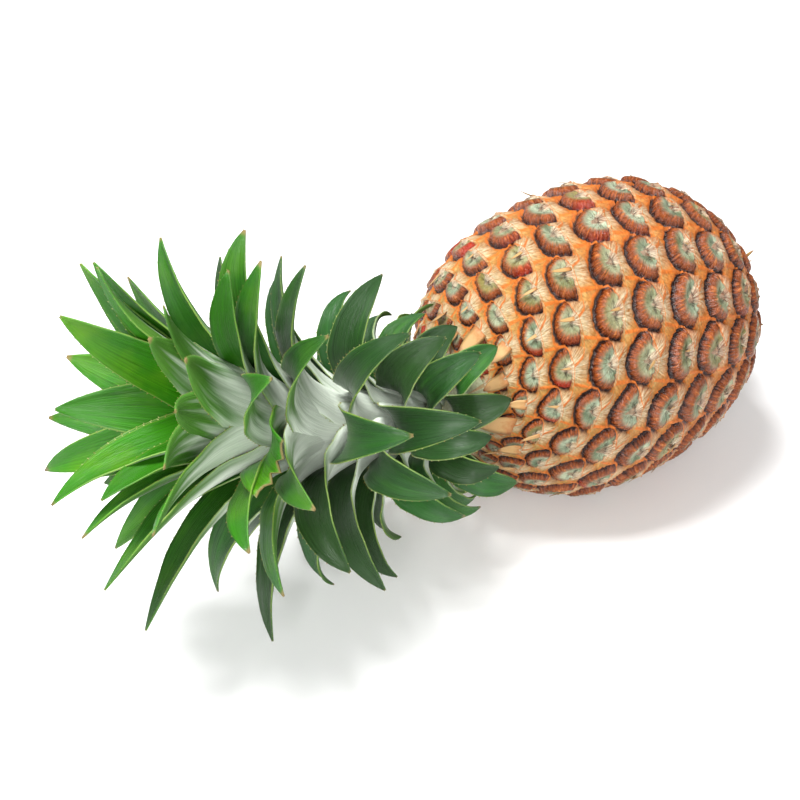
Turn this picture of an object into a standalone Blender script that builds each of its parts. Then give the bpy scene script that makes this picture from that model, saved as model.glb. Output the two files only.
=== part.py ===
"""Pineapple lying on its side: the fruit, its crown of leaves and the cut stalk.

Metres, +Z up. The fruit's axis lies along X, with the crown toward -X and the
stalk toward +X. The fruit rests on a small flat spot on its underside.
Run it with: blender --background --python part.py
"""
import math
import random

import bmesh
import bpy
import numpy as np
from mathutils import Vector
from mathutils.geometry import delaunay_2d_cdt

# Fruit body, a rounded barrel turned about X
FRUIT_RADIUS = 0.0596
FRUIT_HALF_LENGTH = 0.0750
PROFILE_POWER = 2.56
CROWN_END_RADIUS = 0.0190
STALK_END_RADIUS = 0.0165
FLAT_SPOT_DEPTH = 0.0030
END_EYE_RADIUS = 0.55

# Eyes: one spiral sets them all, and crosses itself in 7, 11 and 18 rows
EYE_TURN = math.radians(-99.7706)
EYE_RISE = 0.01612
FIRST_EYE_ANGLE = math.radians(136.8)
FIRST_EYE_REACH = -0.224
ROW_A = 18
ROW_B = -11
EYE_SHEAR = 0.25

# The cushion of an eye is a D with its straight side toward the stalk. Sizes are parts of the local radius
CUSHION_CENTRE = -0.030
CUSHION_TO_CROWN = 0.142
CUSHION_TO_STALK = 0.040
CUSHION_HALF_WIDTH = 0.172
CUSHION_POWER = 2.4
CUSHION_HEIGHT = 0.060
CUSHION_MIDDLE = 0.42
CUSHION_SPREAD = 0.15
CELL_TO_STALK = 0.126

# Groove round the cushion, open under the bract, and the net of folds midway between cushions
GROOVE_DEPTH = 0.030
GROOVE_METRIC = 1.04
GROOVE_WIDTH = 0.09
NET_HEIGHT = 0.012
NET_WIDTH = 0.16

# Bract: a low back on the stalk side that narrows to a tip over the middle of the eye
BRACT_HEIGHT = 0.042
BRACT_HALF_WIDTH = 0.16
BRACT_REACH = 0.17
TIP_REACH = 0.075
TIP_HALF_WIDTH = 0.060
TIP_LIFT = 0.016
RELIEF_FADE = 0.22

# Points that stand for one eye in this mesh
GROOVE_RING = (1.09, 10)
RIM_RING = (0.70, 8)
BRACT_POINTS = ((0.062, 0.0), (0.058, 0.078), (0.050, -0.078))
INNER_POINTS = ((-0.070, 0.050), (-0.070, -0.050))
TIP_POINT = 0.85
END_MARGINS = (0.10, 0.06)
POINT_MARGIN = 0.05
LEAST_SPACING = 0.034
SPACING_GROWTH = 0.30
END_RING_POINTS = 12

# Crown: a short stem that bends up a little, with leaves set by the golden angle
LEAF_COUNT = 84
GOLDEN_ANGLE = math.radians(137.508)
FIRST_LEAF_ANGLE = math.radians(33.2)
LEAF_ANGLE_SPREAD = 0.12
STEM_LENGTH = 0.0743
STEM_BEND = math.radians(33.0)
STEM_BEND_SIDE = math.radians(10.0)
STEM_ROOT_RADIUS = 0.0185
STEM_TOP_RADIUS = 0.0085
STEM_SIDES = 12
STEM_STATIONS = (0.25, 0.5, 0.75, 1.0)
FIRST_LEAF_PLACE = 0.05
LAST_LEAF_PLACE = 0.97

# Leaf sizes, from the lowest leaf to the tall ones and the innermost
LEAF_SEED = 40
LOW_LEAF = 0.0400
TALL_LEAF = 0.1020
INNER_LEAF = 0.0960
LENGTH_SPREAD = 0.10
LOW_LEAF_WIDTH = 0.0180
TALL_LEAF_WIDTH = 0.0268
WIDTH_SPREAD = 0.08
GROWN_AGES = (0.08, 0.73)
INNER_AGES = (0.80, 1.0)

# Leaf leans from the stem's axis: at the root, and the mean along the leaf
ROOT_LEAN = math.radians(6.0)
ROOT_LEAN_LOW = math.radians(44.0)
ROOT_LEAN_POWER = 2.2
MEAN_LEAN = math.radians(17.0)
MEAN_LEAN_LOW = math.radians(42.0)
MEAN_LEAN_RECURVE = math.radians(55.0)
LEAN_SPREAD = math.radians(12.0)
LEAN_RAMP = (0.05, 1.0)
SWAY_SPREAD = 0.16
TWIST_SPREAD = 0.45
HOLLOW_RANGE = (0.90, 1.15)

# Leaf blade
LEAF_THICKNESS = 0.0016
LEAF_TIP_THICKNESS = 0.0009
LEAF_STEPS = 5
LEAF_ACROSS = 3
LEAF_FINE_STEPS = 4
LEAF_CUT_TIP = 0.985
LEAF_ROOT_SINK = 0.35
ROOT_ARC = 1.05
ARC_FALL = 0.65
CLEAR_OF_FRUIT = 0.0052
CLEAR_OF_FLOOR = 0.00095
CLEAR_FROM = 0.30
KEPT_SHARE = 0.66
MERGE_DISTANCE = 0.00004

# Stalk stub
STALK_RADIUS = 0.0140
STALK_LENGTH = 0.013
STALK_SIDES = 18
STALK_RIDGE = 0.0006
STALK_CHAMFER = 0.0012
STALK_HOLLOW = 0.0009
STALK_ROOT_FLARE = 1.06
STALK_END_SIZE = 0.97
STALK_MIDDLE_SIZE = 0.45

NODE_GAP = 0.0004
SHARP_ANGLE = math.radians(40.0)

COLOURS = {
    "fruit": (0.42, 0.17, 0.045),
    "crown": (0.06, 0.19, 0.035),
    "stalk": (0.52, 0.42, 0.24),
}
ROUGHNESS = {"fruit": 0.42, "crown": 0.45, "stalk": 0.85}


# Fruit body

def profile_radius(x):
    """Radius of the smooth body at the distance x from its middle."""
    return FRUIT_RADIUS * np.sqrt(np.clip(1.0 - np.abs(x / FRUIT_HALF_LENGTH) ** PROFILE_POWER, 0.0, 1.0))


def end_reach(radius):
    """Distance from the middle at which the body has narrowed to a radius."""
    share = 1.0 - (radius / FRUIT_RADIUS) ** 2
    return FRUIT_HALF_LENGTH * share ** (1.0 / PROFILE_POWER)


class Body:
    """The smooth body, measured by reach: the distance along it in local eye scales."""

    def __init__(self, samples=3001):
        turn = np.linspace(-math.pi / 2, math.pi / 2, samples)
        x = FRUIT_HALF_LENGTH * np.sin(turn)
        inside = (x > -end_reach(CROWN_END_RADIUS)) & (x < end_reach(STALK_END_RADIUS))
        self.x = x[inside]
        self.r = profile_radius(self.x)
        dx = np.gradient(self.x)
        dr = np.gradient(self.r)
        step = np.hypot(dx, dr)
        self.normal_x = -dr / step
        self.normal_r = dx / step
        steady = (END_EYE_RADIUS * FRUIT_RADIUS) ** 4
        scale = ((self.r ** 4 + steady) / (1.0 + END_EYE_RADIUS ** 4)) ** 0.25
        pace = step / scale
        reach = np.concatenate([[0.0], np.cumsum(0.5 * (pace[1:] + pace[:-1]))])
        self.reach = reach - np.interp(0.0, self.x, reach)

    def points(self, reach, angle, height):
        """Points at a reach and an angle about X, raised by a part of the local radius."""
        r = np.interp(reach, self.reach, self.r)
        x = np.interp(reach, self.reach, self.x) + np.interp(reach, self.reach, self.normal_x) * height * r
        out = r + np.interp(reach, self.reach, self.normal_r) * height * r
        return np.stack([x, out * np.cos(angle), out * np.sin(angle)], axis=-1)


# Eyes

def soft_step(low, high, value):
    """Smooth ramp from 0 at low to 1 at high."""
    t = np.clip((value - low) / (high - low), 0.0, 1.0)
    return t * t * (3.0 - 2.0 * t)


def chance(number, salt):
    """Fixed draw between 0 and 1 for an eye's number."""
    wave = np.sin(np.asarray(number, dtype=float) * 12.9898 + salt * 78.233) * 43758.5453
    return wave - np.floor(wave)


def row_steps():
    """Reach and angle from an eye to its next in the two rows."""
    steps = []
    for count in (ROW_A, ROW_B):
        angle = math.remainder(count * EYE_TURN, math.tau)
        steps.append((count * EYE_RISE, angle))
    return steps


def cushion_metric(along, across):
    """1 on the cushion's rim, 0 at its middle."""
    offset = along - CUSHION_CENTRE
    size = np.where(offset < 0.0, CUSHION_TO_CROWN, CUSHION_TO_STALK)
    total = (np.abs(offset) / size) ** CUSHION_POWER + (np.abs(across) / CUSHION_HALF_WIDTH) ** CUSHION_POWER
    return total ** (1.0 / CUSHION_POWER)


def cell_metric(along, across):
    """Grows away from an eye; the smallest one owns a point."""
    offset = along - CUSHION_CENTRE
    size = np.where(offset < 0.0, CUSHION_TO_CROWN, CELL_TO_STALK)
    return np.hypot(offset / size, across / CUSHION_HALF_WIDTH)


def find_eye(reach, angle):
    """Along, across and number of the eye that owns each point, and the metrics of the nearest two cushions."""
    (reach_a, angle_a), (reach_b, angle_b) = row_steps()
    area = reach_a * angle_b - reach_b * angle_a
    d_reach = reach - FIRST_EYE_REACH
    d_angle = angle - FIRST_EYE_ANGLE
    row_a = (d_reach * angle_b - reach_b * d_angle) / area
    row_b = (reach_a * d_angle - d_reach * angle_a) / area
    near_a = np.rint(row_a)
    near_b = np.rint(row_b)
    best = None
    for step_a in (-1, 0, 1):
        for step_b in (-1, 0, 1):
            left_a = row_a - near_a - step_a
            left_b = row_b - near_b - step_b
            across = left_a * angle_a + left_b * angle_b
            along = left_a * reach_a + left_b * reach_b + EYE_SHEAR * across
            number = ROW_A * (near_a + step_a) + ROW_B * (near_b + step_b)
            found = [along, across, number, cell_metric(along, across)]
            cushion = cushion_metric(along, across)
            if best is None:
                best = found
                first = cushion
                second = cushion + 1.0
                continue
            closer = found[3] < best[3]
            best = [np.where(closer, new, old) for new, old in zip(found, best)]
            second = np.minimum(second, np.maximum(first, cushion))
            first = np.minimum(first, cushion)
    return best[0], best[1], best[2], first, second


def tip_reach_of(number):
    """How far over its eye a bract's tip reaches."""
    return TIP_REACH * (0.7 + 0.7 * chance(number, 2) ** 2)


def cushion_relief(along, number, cushion):
    """Height of the cushion: highest inside its rim, lower in its middle and toward the stalk."""
    rim = np.clip(cushion, 0.0, 1.0)
    height = CUSHION_HEIGHT * (1.0 - rim ** 4)
    height = height * (CUSHION_MIDDLE + (1.0 - CUSHION_MIDDLE) * soft_step(0.25, 0.75, rim))
    height = height * (1.0 + CUSHION_SPREAD * (2.0 * chance(number, 1) - 1.0))
    return height * (1.0 - 0.25 * soft_step(-0.12, 0.0, along))


def bract_relief(along, across, cushion):
    """Height of the bract's back, on the stalk side of its eye."""
    back = np.clip(1.0 - (across / BRACT_HALF_WIDTH) ** 2, 0.0, 1.0) * soft_step(BRACT_REACH, 0.0, along)
    return BRACT_HEIGHT * back * soft_step(-0.04, 0.02, along) * soft_step(0.94, 1.10, cushion)


def tip_relief(along, across, number):
    """Height of the bract's tip where it lies over the middle of the eye."""
    tip_reach = tip_reach_of(number)
    along_tip = np.clip((along + tip_reach) / tip_reach, 0.0, 1.0)
    tongue = np.clip(1.0 - np.abs(across) / (TIP_HALF_WIDTH * along_tip ** 1.3 + 1e-6), 0.0, 1.0)
    tongue = tongue * soft_step(0.07, 0.01, along) * (along > -tip_reach)
    lift = TIP_LIFT * (0.7 + 0.8 * chance(number, 3)) * np.minimum(tongue * 1.8, 1.0)
    return lift + CUSHION_MIDDLE * CUSHION_HEIGHT * soft_step(0.0, 0.3, tongue)


def relief(body, reach, angle):
    """Height of the skin over the smooth body, in local radii."""
    along, across, number, cushion, second = find_eye(reach, angle)
    open_side = np.maximum(soft_step(0.03, -0.03, along), soft_step(0.04, 0.09, along))
    groove = GROOVE_DEPTH * np.exp(-((cushion - GROOVE_METRIC) / GROOVE_WIDTH) ** 2) * open_side
    raised = np.maximum(cushion_relief(along, number, cushion), tip_relief(along, across, number))
    raised = np.maximum(raised, bract_relief(along, across, cushion))
    net = NET_HEIGHT * soft_step(NET_WIDTH, 0.0, second - cushion) * soft_step(0.94, 1.10, cushion)
    height = raised + net - groove
    ends = soft_step(body.reach[0], body.reach[0] + RELIEF_FADE, reach)
    ends = ends * soft_step(body.reach[-1], body.reach[-1] - RELIEF_FADE, reach)
    return height * ends


def ring_offsets(metric, count):
    """Points on a ring round the cushion's middle, where its metric has one value."""
    points = []
    for index in range(count):
        turn = math.tau * (index + 0.5) / count
        way = (math.cos(turn), math.sin(turn))
        size = metric / float(cushion_metric(np.array(CUSHION_CENTRE + 0.1 * way[0]), np.array(0.1 * way[1])))
        points.append((CUSHION_CENTRE + 0.1 * size * way[0], 0.1 * size * way[1]))
    return points


def eye_offsets(number):
    """Places round one eye where the skin bends: groove, rim, bract, tip and inside."""
    places = ring_offsets(*GROOVE_RING) + ring_offsets(*RIM_RING)
    places += BRACT_POINTS
    places.append((-TIP_POINT * float(tip_reach_of(number)), 0.0))
    places += INNER_POINTS
    return places


def skin_places(body):
    """Reach and angle of every point of the skin, with room left between points."""
    low = body.reach[0]
    high = body.reach[-1]
    places = []
    for end in (low, high):
        for index in range(END_RING_POINTS):
            places.append((end, math.tau * index / END_RING_POINTS))
    first = math.ceil((low + END_MARGINS[0] - FIRST_EYE_REACH) / EYE_RISE)
    last = math.floor((high - END_MARGINS[1] - FIRST_EYE_REACH) / EYE_RISE)
    for rank in range(len(eye_offsets(first))):
        for number in range(first, last + 1):
            along, across = eye_offsets(number)[rank]
            reach = FIRST_EYE_REACH + number * EYE_RISE + along - EYE_SHEAR * across
            angle = FIRST_EYE_ANGLE + number * EYE_TURN + across
            if low + POINT_MARGIN < reach < high - POINT_MARGIN:
                places.append((reach, angle % math.tau))
    return thin_out(places)


def thin_out(places):
    """Drops a place that is too near an earlier one. The ends of the fruit keep fewer."""
    kept = []
    for reach, angle in places:
        room = LEAST_SPACING * (1.0 + SPACING_GROWTH * reach * reach)
        if kept:
            others = np.array(kept)
            turn = np.abs(others[:, 1] - angle)
            gap = np.hypot(others[:, 0] - reach, np.minimum(turn, math.tau - turn))
            if gap.min() < room:
                continue
        kept.append((reach, angle))
    return kept


def build_fruit(body):
    """Fruit with its eyes, groove net and bract tips, and a small flat spot beneath."""
    places = skin_places(body)
    reach = np.array([place[0] for place in places])
    angle = np.array([place[1] for place in places])
    points = body.points(reach, angle, relief(body, reach, angle))
    floor = -(FRUIT_RADIUS * (1.0 + 0.5 * CUSHION_HEIGHT)) + FLAT_SPOT_DEPTH
    points[:, 2] = np.maximum(points[:, 2], floor)
    flat = [Vector((math.exp(q) * math.cos(b), math.exp(q) * math.sin(b))) for q, b in places]
    flat.append(Vector((0.0, 0.0)))
    corners, _, faces, sources, _, _ = delaunay_2d_cdt(flat, [], [], 0, 1e-7)
    index_of = [source[0] for source in sources]
    mesh = bmesh.new()
    verts = [mesh.verts.new(point) for point in points]
    verts.append(mesh.verts.new((body.x[0], 0.0, 0.0)))
    stalk_pole = mesh.verts.new((body.x[-1], 0.0, 0.0))
    for face in faces:
        mesh.faces.new([verts[index_of[corner]] for corner in face])
    outer = verts[END_RING_POINTS:2 * END_RING_POINTS]
    for index, vert in enumerate(outer):
        mesh.faces.new((vert, outer[(index + 1) % END_RING_POINTS], stalk_pole))
    bmesh.ops.recalc_face_normals(mesh, faces=mesh.faces)
    return finish_object("fruit", mesh), floor


# Crown

def stem_frame(distance):
    """Centre of the crown's stem, its axis and its level side. The stem bends away from the fruit's axis."""
    bend = STEM_BEND * distance / STEM_LENGTH
    radius = STEM_LENGTH / STEM_BEND
    ahead = np.array([-1.0, 0.0, 0.0])
    aside = np.array([0.0, math.sin(STEM_BEND_SIDE), math.cos(STEM_BEND_SIDE)])
    start = np.array([-end_reach(CROWN_END_RADIUS), 0.0, 0.0])
    centre = start + radius * (ahead * math.sin(bend) + aside * (1.0 - math.cos(bend)))
    axis = ahead * math.cos(bend) + aside * math.sin(bend)
    level = np.array([0.0, 1.0, 0.0])
    level = level - axis * level.dot(axis)
    return centre, axis, level / np.linalg.norm(level)


def leaf_rule(index):
    """Sizes and leans of one leaf. Age 0 is the lowest and shortest, 1 the innermost."""
    draw = random.Random(LEAF_SEED + index)
    age = index / (LEAF_COUNT - 1)
    grown = float(soft_step(*GROWN_AGES, age))
    inner = float(soft_step(*INNER_AGES, age))
    angle = FIRST_LEAF_ANGLE - GOLDEN_ANGLE * index + draw.uniform(-LEAF_ANGLE_SPREAD, LEAF_ANGLE_SPREAD)
    length = LOW_LEAF + (TALL_LEAF - LOW_LEAF) * grown - (TALL_LEAF - INNER_LEAF) * inner
    width = LOW_LEAF_WIDTH + (TALL_LEAF_WIDTH - LOW_LEAF_WIDTH) * grown
    lean = ROOT_LEAN + ROOT_LEAN_LOW * (1.0 - age) ** ROOT_LEAN_POWER
    mean = MEAN_LEAN + MEAN_LEAN_LOW * (1.0 - age) ** 1.2 + MEAN_LEAN_RECURVE * (1.0 - age) ** 1.5
    mean_ramp = 1.0 - 0.5 * sum(LEAN_RAMP)
    return {
        "distance": STEM_LENGTH * (FIRST_LEAF_PLACE + (LAST_LEAF_PLACE - FIRST_LEAF_PLACE) * age ** 0.94),
        "angle": angle,
        "length": length * draw.uniform(1.0 - LENGTH_SPREAD, 1.0 + LENGTH_SPREAD),
        "width": width * draw.uniform(1.0 - WIDTH_SPREAD, 1.0 + WIDTH_SPREAD),
        "lean": lean,
        "end_lean": lean + (mean - lean) / mean_ramp + draw.uniform(-LEAN_SPREAD, LEAN_SPREAD),
        "sway": draw.uniform(-SWAY_SPREAD, SWAY_SPREAD),
        "twist": draw.uniform(-TWIST_SPREAD, TWIST_SPREAD),
        "hollow": draw.uniform(*HOLLOW_RANGE),
    }


def leaf_width(t):
    """Width of a leaf along its length, as a part of its full width."""
    return (1.0 - t) ** 0.8 * (1.0 + 1.1 * t) * (1.0 - 0.18 * (1.0 - t) ** 4) * 1.04


def push_clear(point, floor, t):
    """Moves a point of a leaf off the floor and out of the fruit. The root keeps less room than the tip."""
    place = point.copy()
    place[2] = max(place[2], floor + CLEAR_OF_FLOOR)
    room = CLEAR_OF_FRUIT * float(soft_step(0.0, CLEAR_FROM, t))
    out = math.hypot(place[1], place[2])
    share = abs(place[0]) / (FRUIT_HALF_LENGTH + room)
    if place[0] > -end_reach(CROWN_END_RADIUS) - room and share < 1.0:
        needed = (FRUIT_RADIUS + room) * math.sqrt(1.0 - share ** PROFILE_POWER)
        if out < needed:
            place[1:] *= needed / max(out, 1e-6)
    return place


def leaf_surface(rule, floor, steps, across_count):
    """Middle surface of one leaf as rows of points from its root to its tip."""
    centre, axis, level = stem_frame(rule["distance"])
    up = np.cross(level, axis)
    out = level * math.cos(rule["angle"]) + up * math.sin(rule["angle"])
    side = np.cross(axis, out)
    share = rule["distance"] / STEM_LENGTH
    stem_radius = STEM_ROOT_RADIUS + (STEM_TOP_RADIUS - STEM_ROOT_RADIUS) * share
    place = centre + out * stem_radius * (1.0 - LEAF_ROOT_SINK)
    rows = []
    fine = LEAF_FINE_STEPS * steps
    for step in range(fine + 1):
        t = step / fine
        lean = rule["lean"] + (rule["end_lean"] - rule["lean"]) * float(soft_step(*LEAN_RAMP, t))
        along = axis * math.cos(lean) + out * math.sin(lean)
        along = along + side * rule["sway"] * t
        along = along / np.linalg.norm(along)
        if step % LEAF_FINE_STEPS == 0:
            face = np.cross(along, side)
            face = face / np.linalg.norm(face)
            edge = np.cross(face, along)
            turn = rule["twist"] * t
            turned = edge * math.cos(turn) + face * math.sin(turn)
            face = face * math.cos(turn) - edge * math.sin(turn)
            rows.append(leaf_row(place, turned, face, rule, min(t, LEAF_CUT_TIP), floor, across_count))
        place = push_clear(place + along * rule["length"] / fine, floor, t)
    return rows


def leaf_row(place, edge, face, rule, t, floor, across_count):
    """One row across a leaf: an arc, hollow toward the crown's axis."""
    half = 0.5 * rule["width"] * leaf_width(t)
    arc = rule["hollow"] * (ROOT_ARC - ARC_FALL * t)
    row = []
    for index in range(across_count):
        y = 2.0 * index / (across_count - 1) - 1.0
        sideways = half * math.sin(y * arc) / arc
        depth = half * (1.0 - math.cos(y * arc)) / arc
        row.append(push_clear(place + edge * sideways + face * depth, floor, t))
    return row


def leaf_object(index, floor):
    """One leaf as a closed blade."""
    rows = np.array(leaf_surface(leaf_rule(index), floor, LEAF_STEPS, LEAF_ACROSS))
    along = np.gradient(rows, axis=0)
    across = np.gradient(rows, axis=1)
    normal = np.cross(along, across)
    normal /= np.linalg.norm(normal, axis=2, keepdims=True)
    t = np.linspace(0.0, 1.0, LEAF_STEPS + 1)[:, None, None]
    half = 0.5 * (LEAF_THICKNESS + (LEAF_TIP_THICKNESS - LEAF_THICKNESS) * t)
    mesh = bmesh.new()
    layers = []
    for surface in (rows + normal * half, rows - normal * half):
        layers.append([[mesh.verts.new(point) for point in row] for row in surface])
    last = LEAF_ACROSS - 1
    for step in range(LEAF_STEPS):
        for index_across in range(last):
            for layer in layers:
                quad_as_triangles(mesh, layer, step, index_across)
        for edge in (0, last):
            mesh.faces.new((layers[0][step][edge], layers[0][step + 1][edge],
                            layers[1][step + 1][edge], layers[1][step][edge]))
    for end in (0, LEAF_STEPS):
        for index_across in range(last):
            mesh.faces.new((layers[0][end][index_across], layers[0][end][index_across + 1],
                            layers[1][end][index_across + 1], layers[1][end][index_across]))
    bmesh.ops.recalc_face_normals(mesh, faces=mesh.faces)
    bmesh.ops.triangulate(mesh, faces=mesh.faces)
    return mesh_object(f"leaf_{index:02d}", mesh)


def quad_as_triangles(mesh, layer, step, across):
    """Splits one patch of a leaf the same way on both faces."""
    near = layer[step]
    far = layer[step + 1]
    if across < (LEAF_ACROSS - 1) / 2:
        mesh.faces.new((near[across], near[across + 1], far[across + 1]))
        mesh.faces.new((near[across], far[across + 1], far[across]))
    else:
        mesh.faces.new((near[across], near[across + 1], far[across]))
        mesh.faces.new((near[across + 1], far[across + 1], far[across]))


def stem_object():
    """Core that the leaves grow from."""
    mesh = bmesh.new()
    rings = []
    for share in (NODE_GAP / STEM_LENGTH, *STEM_STATIONS):
        distance = share * STEM_LENGTH
        centre, axis, level = stem_frame(distance)
        radius = STEM_ROOT_RADIUS + (STEM_TOP_RADIUS - STEM_ROOT_RADIUS) * distance / STEM_LENGTH
        up = np.cross(level, axis)
        ring = []
        for index in range(STEM_SIDES):
            turn = math.tau * index / STEM_SIDES
            point = centre + radius * (level * math.cos(turn) + up * math.sin(turn))
            ring.append(mesh.verts.new(point))
        rings.append(ring)
    for near, far in zip(rings, rings[1:]):
        for index in range(STEM_SIDES):
            other = (index + 1) % STEM_SIDES
            mesh.faces.new((near[index], near[other], far[other], far[index]))
    mesh.faces.new(rings[0])
    mesh.faces.new(rings[-1])
    bmesh.ops.recalc_face_normals(mesh, faces=mesh.faces)
    return mesh_object("crown_stem", mesh)


def build_crown(floor):
    """Stem and leaves joined by one union."""
    stem = stem_object()
    leaves = bpy.data.collections.new("leaves")
    bpy.context.scene.collection.children.link(leaves)
    for index in range(LEAF_COUNT):
        leaf = leaf_object(index, floor)
        bpy.context.scene.collection.objects.unlink(leaf)
        leaves.objects.link(leaf)
    join = stem.modifiers.new("join_leaves", "BOOLEAN")
    join.operation = "UNION"
    join.operand_type = "COLLECTION"
    join.collection = leaves
    join.solver = "MANIFOLD"
    thin = stem.modifiers.new("drop_slivers", "DECIMATE")
    thin.ratio = KEPT_SHARE
    graph = bpy.context.evaluated_depsgraph_get()
    joined = bpy.data.meshes.new_from_object(stem.evaluated_get(graph))
    mesh = bmesh.new()
    mesh.from_mesh(joined)
    bpy.data.meshes.remove(joined)
    for thing in list(leaves.objects) + [stem]:
        bpy.data.objects.remove(thing)
    bpy.data.collections.remove(leaves)
    bmesh.ops.remove_doubles(mesh, verts=mesh.verts, dist=MERGE_DISTANCE)
    bmesh.ops.dissolve_degenerate(mesh, edges=mesh.edges, dist=MERGE_DISTANCE)
    bmesh.ops.triangulate(mesh, faces=mesh.faces)
    keep_outer_shell(mesh)
    return finish_object("crown", mesh)


def keep_outer_shell(mesh):
    """Keeps the largest connected shell, so no sealed hollow or loose scrap stays."""
    left = set(mesh.faces)
    shells = []
    while left:
        start = left.pop()
        shell = [start]
        queue = [start]
        while queue:
            face = queue.pop()
            for edge in face.edges:
                for other in edge.link_faces:
                    if other in left:
                        left.remove(other)
                        shell.append(other)
                        queue.append(other)
        shells.append(shell)
    shells.sort(key=len)
    loose = [face for shell in shells[:-1] for face in shell]
    bmesh.ops.delete(mesh, geom=loose, context="FACES")


# Stalk

def build_stalk():
    """Cut stub of the stalk, ridged by its fibres, with a slightly hollow cut face."""
    start = end_reach(STALK_END_RADIUS) + NODE_GAP
    stations = (
        (start, STALK_ROOT_FLARE, 1.0),
        (start + 0.35 * STALK_LENGTH, 1.0, 1.0),
        (start + STALK_LENGTH - STALK_CHAMFER, STALK_END_SIZE, 1.0),
        (start + STALK_LENGTH, STALK_END_SIZE - STALK_CHAMFER / STALK_RADIUS, 0.5),
        (start + STALK_LENGTH - STALK_HOLLOW, STALK_MIDDLE_SIZE, 0.0),
    )
    mesh = bmesh.new()
    rings = []
    for x, size, ridged in stations:
        ring = []
        for index in range(STALK_SIDES):
            turn = math.tau * index / STALK_SIDES
            radius = STALK_RADIUS * size + ridged * STALK_RIDGE * (1.0 if index % 2 else -1.0)
            ring.append(mesh.verts.new((x, radius * math.cos(turn), radius * math.sin(turn))))
        rings.append(ring)
    for near, far in zip(rings, rings[1:]):
        for index in range(STALK_SIDES):
            other = (index + 1) % STALK_SIDES
            mesh.faces.new((near[index], near[other], far[other], far[index]))
    mesh.faces.new(rings[0])
    mesh.faces.new(rings[-1])
    bmesh.ops.recalc_face_normals(mesh, faces=mesh.faces)
    return finish_object("stalk", mesh)


# Objects and materials

def make_material(name):
    """Plain material of one sub-part."""
    material = bpy.data.materials.new(name)
    material.use_nodes = True
    shader = material.node_tree.nodes["Principled BSDF"]
    shader.inputs["Base Color"].default_value = (*COLOURS[name], 1.0)
    shader.inputs["Roughness"].default_value = ROUGHNESS[name]
    shader.inputs["Metallic"].default_value = 0.0
    return material


def mesh_object(name, mesh):
    """Turns a bmesh into an object in the scene."""
    data = bpy.data.meshes.new(name)
    mesh.to_mesh(data)
    mesh.free()
    thing = bpy.data.objects.new(name, data)
    bpy.context.scene.collection.objects.link(thing)
    return thing


def finish_object(name, mesh):
    """Named, smooth shaded object with its own material."""
    bmesh.ops.triangulate(mesh, faces=mesh.faces)
    thing = mesh_object(name, mesh)
    thing.data.materials.append(make_material(name))
    thing.data.shade_smooth()
    thing.data.set_sharp_from_angle(angle=SHARP_ANGLE)
    return thing


def stand_on_floor(things, floor):
    """Parents everything to one empty and sets the middle of the underside at the origin."""
    low = np.full(3, np.inf)
    high = np.full(3, -np.inf)
    for thing in things:
        for vertex in thing.data.vertices:
            low = np.minimum(low, vertex.co)
            high = np.maximum(high, vertex.co)
    root = bpy.data.objects.new("pineapple", None)
    bpy.context.scene.collection.objects.link(root)
    middle = 0.5 * (low + high)
    root.location = (-middle[0], -middle[1], -floor)
    for thing in things:
        thing.parent = root
    return root


def main():
    """Builds the part in an empty scene."""
    for thing in list(bpy.data.objects):
        bpy.data.objects.remove(thing)
    body = Body()
    fruit, floor = build_fruit(body)
    crown = build_crown(floor)
    stalk = build_stalk()
    root = stand_on_floor([fruit, crown, stalk], floor)
    for thing in (fruit, crown, stalk):
        print(thing.name, len(thing.data.polygons), "triangles")
    print("fruit centre", tuple(round(value, 5) for value in root.location))


main()
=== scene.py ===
"""Looks of the pineapple: its skin, crown, dry bracts and cut stalk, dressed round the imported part.

Metres, +Z up, in the frame of the CAD. The fruit's axis lies along X, with the
crown toward -X and the stalk toward +X.
"""
from __future__ import annotations

import logging
import math
import random
from dataclasses import dataclass, field
from enum import Enum

import bpy
import numpy as np
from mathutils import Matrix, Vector

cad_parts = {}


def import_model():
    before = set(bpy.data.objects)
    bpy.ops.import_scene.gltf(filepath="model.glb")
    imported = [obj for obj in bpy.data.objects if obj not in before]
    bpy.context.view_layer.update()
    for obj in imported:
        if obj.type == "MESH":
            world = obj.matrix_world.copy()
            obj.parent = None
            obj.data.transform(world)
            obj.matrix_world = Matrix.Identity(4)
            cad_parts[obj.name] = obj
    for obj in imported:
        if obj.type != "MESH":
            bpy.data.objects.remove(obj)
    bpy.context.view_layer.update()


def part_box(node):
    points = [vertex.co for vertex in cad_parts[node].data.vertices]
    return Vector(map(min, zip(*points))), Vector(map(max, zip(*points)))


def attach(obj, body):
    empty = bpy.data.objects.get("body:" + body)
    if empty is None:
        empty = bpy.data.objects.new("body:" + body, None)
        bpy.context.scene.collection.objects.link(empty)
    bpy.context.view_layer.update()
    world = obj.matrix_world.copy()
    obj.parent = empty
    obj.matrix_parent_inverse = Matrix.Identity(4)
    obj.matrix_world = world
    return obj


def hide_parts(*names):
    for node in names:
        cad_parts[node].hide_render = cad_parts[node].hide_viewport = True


LOG = logging.getLogger("pineapple")

MATH = "ShaderNodeMath"
VECTOR_MATH = "ShaderNodeVectorMath"
MIX = "ShaderNodeMix"
NOISE = "ShaderNodeTexNoise"
MAP_RANGE = "ShaderNodeMapRange"
COMBINE = "ShaderNodeCombineXYZ"
FLAT_SPOT_DEPTH = 0.0030
EYE_CHANCE = 12.9898
SALT_CHANCE = 78.233
CHANCE_SPREAD = 43758.5453
FOLD_SALT = 5

Array = np.ndarray
Colour = tuple[float, float, float, float]


class Slot(Enum):
    """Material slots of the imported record."""

    SKIN = "skin"
    LEAF = "leaf"
    STALK = "stalk"


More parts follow.
